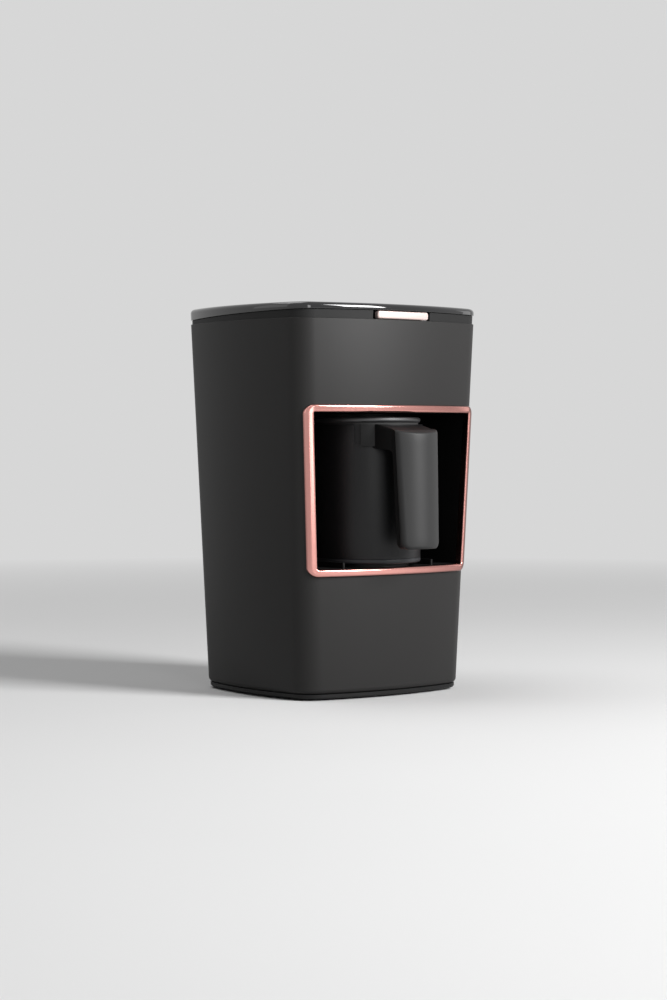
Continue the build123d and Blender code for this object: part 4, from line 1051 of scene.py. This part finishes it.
class COFFEE_OT_pot(CoffeeOperator, bpy.types.Operator):
    """Model the pot's outer wall, its steel cup with the rolled lip and its lower ring"""

    bl_idname = "coffee.pot"
    bl_label = "Pot"

    def execute(self, context):
        size = sizes("pot")
        axis = (0.0, pot_y, 0.0)
        self.outer_wall(size, axis)
        self.cup(size, axis)
        self.lower_ring(size, axis)
        return {"FINISHED"}

    def outer_wall(self, size, axis):
        """Coated wall with the plug's opening and the slots beside the handle."""
        low, high, edge = wall_low.z, wall_high.z, size.edge
        inner = pot_radius - size.wall
        profile = [(inner, low)] + rounded(pot_radius, low, edge, DOWN, edge_steps)
        profile += rounded(pot_radius, high, edge, OUT, edge_steps)
        profile += [(inner, high), (inner, low)]
        wall = turned(profile, axis, turn_steps)
        reach = pot_radius + size.slot_depth
        for side in (-1, 1):
            angle = side * size.slot_turn
            place = (reach * sin(angle), pot_y - reach * cos(angle), high)
            cut_away(wall, block(place, (size.slot_width, 4 * size.slot_depth, 2 * size.slot_drop), angle))
        opening = (2 * plug_high.x + 2 * size.cup_neck, 2 * size.wall, 2 * (plug_high.z - low))
        cut_away(wall, block((0, pot_y + pot_radius, low), opening))
        smooth(wall)
        hand_over(wall, "pot_wall", "coffee_pot", "pot_grey", "pot_shell")

    def cup(self, size, axis):
        """Steel cup: rounded floor, flared neck and rolled lip."""
        floor, top, sheet = cup_low.z, cup_high.z, size.cup_wall
        lip_low = top - size.lip_height
        neck_low = lip_low - size.cup_flare
        neck = pot_radius - size.wall - size.cup_neck
        roll = size.lip_height / 2 - size.cup_neck / 2
        bend, soft = size.floor_round, size.lip_soft
        profile = [(0.0, floor)] + rounded(size.cup_radius, floor, bend, DOWN, bend_steps)
        profile += [(size.cup_radius, neck_low), (neck, lip_low)]
        profile += rounded(pot_radius, lip_low, roll, DOWN, lip_steps)
        profile += rounded(pot_radius, top, roll, OUT, lip_steps)
        profile += rounded(neck - sheet, top, soft, UP, break_steps)
        profile += [(neck - sheet, lip_low), (size.cup_radius - sheet, neck_low)]
        profile += rounded(size.cup_radius, floor, bend, OUT, bend_steps, -1, sheet)
        profile += [(0.0, floor + sheet)]
        cup = smooth(turned(profile, axis, turn_steps), cut_angle)
        hand_over(cup, "cup_lining", "coffee_pot", "cup_steel", "steel_cup")

    def lower_ring(self, size, axis):
        """Lower ring of the pot with its recessed underside and screw holes."""
        low, edge = pot_foot_low.z, size.edge
        top, up = low + size.foot_height, low + size.foot_recess
        bend = size.foot_round
        profile = [(0.0, up)] + rounded(size.foot_ring, up, edge, UP, seam_steps, -1)
        profile += rounded(size.foot_ring, low, edge, IN, seam_steps)
        profile += rounded(pot_radius, low, bend, DOWN, round_steps)
        profile += rounded(pot_radius, top, edge, OUT, edge_steps) + [(0.0, top)]
        ring = turned(profile, axis, turn_steps)
        through = 3 * (pot_screws_low.z - low) + size.screw_play
        for place in pot_screw_places(low):
            cut_away(ring, drill(place, pot_screw_head() + size.cup_neck, through, screw_steps))
        smooth(ring)
        hand_over(ring, "pot_lower_ring", "coffee_pot", "ring_grey", "pot_base")


class COFFEE_OT_grip(CoffeeOperator, bpy.types.Operator):
    """Model the grip's front shell: bowed, leaning, rounded, with a sloping top"""

    bl_idname = "coffee.grip"
    bl_label = "Grip"

    def execute(self, context):
        size = sizes("pot")
        back = pot_y - pot_radius - size.grip_back
        lean = size.grip_lean / size.grip_height
        level = grip_low.z + size.grip_height
        depth = size.grip_side + size.grip_bow
        bow = (size.grip_half_top**2 + size.grip_bow**2) / (2 * size.grip_bow)
        shell = flat_face(size.grip_half_low, size.grip_half_top, grip_low.z, grip_high.z + size.grip_edge)
        corners_rounded(shell, size.grip_corner, round_steps, lambda place: place.z < pot_foot_high.z)
        thickened(shell, depth)

        def front_edge(a, b):
            return max(abs(a.y), abs(b.y)) < same and min(a.z, b.z) < grip_high.z

        softened(shell, size.grip_edge, bevel_steps, front_edge)
        sliced(shell, "x", -size.grip_half_top, size.grip_half_top, grip_across)
        sliced(shell, "z", grip_low.z, grip_high.z, grip_up)
        for vertex in shell.data.vertices:
            x, behind, height = vertex.co
            front = back - depth - lean * (level - height) + bow - sqrt(bow * bow - x * x) + hair
            vertex.co.y = front + behind
        split = back - size.grip_split
        trimmed(shell, (0, split, level), (0, 1, -lean))
        trimmed(shell, (0, back - depth, level - hair), (0, -size.grip_slope, 1))

        def above(a, b):
            return all(end.z > level - size.grip_edge and end.y < split - hair for end in (a, b))

        softened(shell, size.grip_top_edge, break_steps, above)
        smooth(shell, cut_angle)
        hand_over(shell, "grip_shell", "coffee_pot", "grip_grey", "grip_cover")
        return {"FINISHED"}


class COFFEE_OT_feet(CoffeeOperator, bpy.types.Operator):
    """Model one rubber foot and set four of them"""

    bl_idname = "coffee.feet"
    bl_label = "Rubber feet"

    def execute(self, context):
        low, high = feet_low.z, feet_high.z
        radius, edge = sizes("hardware").foot_radius, sizes("hardware").foot_edge
        place = Vector((feet_high.x - radius, feet_high.y - radius, 0.0))
        groove, rim = radius / 2, 2 * edge
        profile = [(0.0, low + edge)] + rounded(groove, low + edge, edge, UP, edge_steps, -1)
        profile += rounded(groove + rim, low, edge, IN, edge_steps)
        profile += rounded(radius, low, rim, DOWN, break_steps) + [(radius, high), (0.0, high)]
        foot = smooth(turned(profile, place, foot_steps))
        across, deep = -2 * place.x, 2 * (housing_y - place.y)
        feet = [foot] + [copied(foot, move) for move in ((across, 0, 0), (0, deep, 0), (across, deep, 0))]
        for count, piece in enumerate(feet, 1):
            hand_over(piece, f"rubber_foot_{count}", "housing", "foot_rubber", "rubber_feet")
        return {"FINISHED"}


class COFFEE_OT_inlet(CoffeeOperator, bpy.types.Operator):
    """Model the bush that the mains lead passes through"""

    bl_idname = "coffee.inlet"
    bl_label = "Lead inlet"

    def execute(self, context):
        size = sizes("window")
        axis = (0.0, 0.0, (gland_low.z + gland_high.z) / 2)
        flange, barrel, bore = (gland_high.z - gland_low.z) / 2, size.inlet_barrel, size.inlet_bore
        seat, outer, inner = gland_high.y - size.inlet_flange, gland_high.y, gland_low.y
        soft, edge = size.inlet_flange / 2, size.inlet_flange / 5
        profile = [(bore, inner), (barrel, inner), (barrel, seat), (flange, seat)]
        profile += rounded(flange, outer, soft, OUT, bend_steps)
        profile += rounded(bore, outer, edge, UP, break_steps) + [(bore, inner)]
        bush = smooth(turned(profile, axis, inlet_steps, "y"))
        hand_over(bush, "inlet_bush", "housing", "seal_rubber", "cord_gland")
        return {"FINISHED"}


def pot_screw_head():
    """Head radius of the small screws, read from the two in the grip."""
    return (grip_screws_high.x - grip_screws_low.x) / 2


def pot_screw_places(height):
    """Places of the three screws under the pot."""
    ring = sizes("pot").screw_ring
    turns = [radians(turn_round) for turn_round in (60, 180, 300)]
    return [(-ring * sin(angle), pot_y + ring * cos(angle), height) for angle in turns]


def cross_screw(head, head_height, shank, length):
    """Screw that stands on its head: rounded head with a cross recess below, shank above."""
    edge = head_height / 3
    long, wide = head * sizes("hardware").cross_long, head * sizes("hardware").cross_wide
    profile = [(0.0, 0.0)] + rounded(head, 0.0, edge, DOWN, break_steps)
    profile += [(head, head_height), (shank, head_height), (shank, head_height + length - shank)]
    profile += [(shank / 2, head_height + length), (0.0, head_height + length)]
    piece = turned(profile, (0, 0, 0), screw_steps)
    for across, deep in ((long, wide), (wide, long)):
        cut_away(piece, block((0, 0, 0), (across, deep, head_height)))
    return smooth(piece)


class COFFEE_OT_screws(CoffeeOperator, bpy.types.Operator):
    """Model the screws that can be seen: under the base, under the pot and in the grip"""

    bl_idname = "coffee.screws"
    bl_label = "Screws"

    def execute(self, context):
        size = sizes("hardware")
        head = size.head
        tall = base_screws_high.z - base_screws_low.z
        base = cross_screw(head, size.head_height, size.shank, tall - size.head_height)
        x, y = base_screws_high.x - head, base_screws_high.y - head - housing_y
        places = [(sx * x, housing_y + sy * y, base_screws_low.z) for sx in (-1, 1) for sy in (-1, 1)]
        self.set_out(base, places, "base_screw", "housing", "base_screws")

        head = pot_screw_head()
        tall = pot_screws_high.z - pot_screws_low.z
        under = cross_screw(head, size.small_head_height, size.small_shank, tall - size.small_head_height)
        places = pot_screw_places(pot_screws_low.z)
        self.set_out(under, places, "pot_screw", "coffee_pot", "pot_base_screws")

        deep = grip_screws_high.y - grip_screws_low.y
        lean = sizes("pot").grip_lean / sizes("pot").grip_height
        low, high = grip_screws_low.z + head, grip_screws_high.z - head
        shank_length = deep - lean * (high - low) - size.small_head_height
        side = cross_screw(head, size.small_head_height, size.small_shank, shank_length)
        side.data.transform(Matrix.Rotation(pi / 2, 4, "X"))
        outer = grip_screws_high.y
        places = [(0, outer - lean * (high - low), low), (0, outer, high)]
        self.set_out(side, places, "grip_screw", "coffee_pot", "grip_screws")
        return {"FINISHED"}

    def set_out(self, piece, places, name, body, node):
        """Copies a screw to its places and hands the copies over."""
        for count, place in enumerate(places, 1):
            twin = copied(piece, place)
            hand_over(twin, f"{name}_{count}", body, "screw_steel", node)
        bpy.data.objects.remove(piece)


class COFFEE_OT_stage(CoffeeOperator, bpy.types.Operator):
    """Set the studio: floor, world, soft lamps and the camera"""

    bl_idname = "coffee.stage"
    bl_label = "Stage"

    def execute(self, context):
        self.floor()
        self.world(context.scene)
        self.lamps()
        self.camera(context.scene)
        context.scene.view_settings.view_transform = "Standard"
        return {"FINISHED"}

    def seen(self, recipe):
        """1 where the camera, a reflection or clear glass looks at the stage, else 0."""
        rays = [
            recipe.node("ShaderNodeLightPath", output=name)
            for name in ("Is Camera Ray", "Is Glossy Ray", "Is Transmission Ray")
        ]
        return rays[0].math("MAXIMUM", rays[1]).math("MAXIMUM", rays[2])

    def floor(self):
        """Large pale floor that keeps the shadow and melts into the backdrop far away."""
        stage = sizes("stage")
        floor = added("plane", size=stage.floor, location=(0, 0, 0))
        floor.name = "studio_floor"
        paint = Recipe("studio_floor")
        haze = paint.noise(scale=3.0)
        seen = self.seen(paint)
        base = sizes("finish").floor
        tone = paint.mixed(seen, shade(base, stage.bounce), paint.toned(base, haze, 0.98, 1.02))
        paint.finish(tone, 0.9, specular_level=0.05)
        far = paint.node("ShaderNodeVectorMath", {"operation": "LENGTH"}, {0: paint.place}, output="Value")
        fade = ((far - stage.fade_start) / stage.fade_length).clamped()
        glow = paint.node("ShaderNodeEmission", None, {"Color": white, "Strength": stage.backdrop})
        lit = Wire(paint, paint.shader.outputs[0])
        mixed = paint.node("ShaderNodeMixShader", None, {0: fade * seen, 1: lit, 2: glow})
        paint.feed(paint.tree.nodes["Material Output"].inputs["Surface"], mixed)
        floor.data.materials.append(paint.material)

    def world(self, scene):
        """Plain world: pale where the camera and reflections see it, softer as light."""
        stage = sizes("stage")
        scene.world = bpy.data.worlds.new("studio")
        scene.world.use_nodes = True
        sky = Recipe("studio_sky", scene.world.node_tree)
        level = self.seen(sky) * (stage.backdrop - stage.ambient) + stage.ambient
        background = sky.tree.nodes["Background"]
        sky.feed(background.inputs["Color"], white)
        sky.feed(background.inputs["Strength"], level)

    def lamps(self):
        """Key softbox at the front right, two strips for the trim, weak fills behind and above."""
        stage = sizes("stage")
        aim = Vector((0.0, housing_y, stage.aim))
        for name, rightwards, upwards, away, width, height in LAMPS:
            rightwards, upwards = radians(rightwards), radians(upwards)
            way = Vector((sin(rightwards) * cos(upwards), -cos(rightwards) * cos(upwards), sin(upwards)))
            select_none()
            bpy.ops.object.light_add(type="AREA", location=aim + way * away)
            lamp = bpy.context.object
            lamp.name = name
            lamp.data.shape = "RECTANGLE"
            lamp.data.size, lamp.data.size_y = width, height
            lamp.data.energy = getattr(stage, name)
            lamp.rotation_euler = way.to_track_quat("Z", "Y").to_euler()

    def camera(self, scene):
        """Level camera left of the front, with the upright shift of the framing."""
        stage = sizes("stage")
        angle = stage.azimuth
        place = (-stage.distance * sin(angle), housing_y - stage.distance * cos(angle), stage.eye)
        select_none()
        bpy.ops.object.camera_add(location=place, rotation=(pi / 2, 0, -angle))
        camera = bpy.context.object
        camera.name = "studio_camera"
        camera.data.lens = stage.lens
        camera.data.shift_x, camera.data.shift_y = stage.slide, stage.lift
        camera.data.clip_start, camera.data.clip_end = stage.near, stage.far
        scene.camera = camera


class COFFEE_PT_panel(bpy.types.Panel):
    """Sidebar panel with the sizes, colours and steps"""

    bl_idname = "COFFEE_PT_panel"
    bl_label = "Coffee maker"
    bl_space_type = "VIEW_3D"
    bl_region_type = "UI"
    bl_category = "Coffee maker"

    def draw(self, context):
        column = self.layout.column()
        for group in (getattr(context.scene, name) for name in GROUPS):
            for name in group.bl_rna.properties.keys():
                if name not in ("rna_type", "name"):
                    column.prop(group, name)
        for step in STEPS:
            column.operator(step.bl_idname)


# name, degrees right of the front, degrees up, distance, width, height
LAMPS = (
    ("key_lamp", 21.0, 25.0, 1.9, 0.6, 1.1),
    ("left_strip", -22.0, 9.0, 1.1, 0.2, 0.6),
    ("right_strip", 74.0, 9.0, 1.1, 0.2, 0.6),
    ("fill_lamp", -118.0, 20.0, 2.2, 0.8, 1.4),
    ("top_lamp", -150.0, 70.0, 1.9, 1.2, 1.2),
)
GROUPS = {
    "coffee_housing": HousingSizes,
    "coffee_window": WindowSizes,
    "coffee_pot": PotSizes,
    "coffee_hardware": HardwareSizes,
    "coffee_finish": FinishColours,
    "coffee_stage": StageSizes,
}
STEPS = (
    COFFEE_OT_finish_nodes,
    COFFEE_OT_housing,
    COFFEE_OT_trim,
    COFFEE_OT_top_plate,
    COFFEE_OT_start_bar,
    COFFEE_OT_pot,
    COFFEE_OT_grip,
    COFFEE_OT_feet,
    COFFEE_OT_inlet,
    COFFEE_OT_screws,
    COFFEE_OT_stage,
)
CLASSES = (*GROUPS.values(), *STEPS, COFFEE_PT_panel)


def register():
    """Registers the classes and hangs the property groups on the scene."""
    for made in CLASSES:
        bpy.utils.register_class(made)
    for name, group in GROUPS.items():
        setattr(bpy.types.Scene, name, bpy.props.PointerProperty(type=group))


def unregister():
    """Takes it all back."""
    for name in GROUPS:
        delattr(bpy.types.Scene, name)
    for made in reversed(CLASSES):
        bpy.utils.unregister_class(made)


def main():
    """Runs every step in order."""
    register()
    for step in STEPS:
        area, name = step.bl_idname.split(".")
        getattr(getattr(bpy.ops, area), name)()


if __name__ == "__main__":
    main()
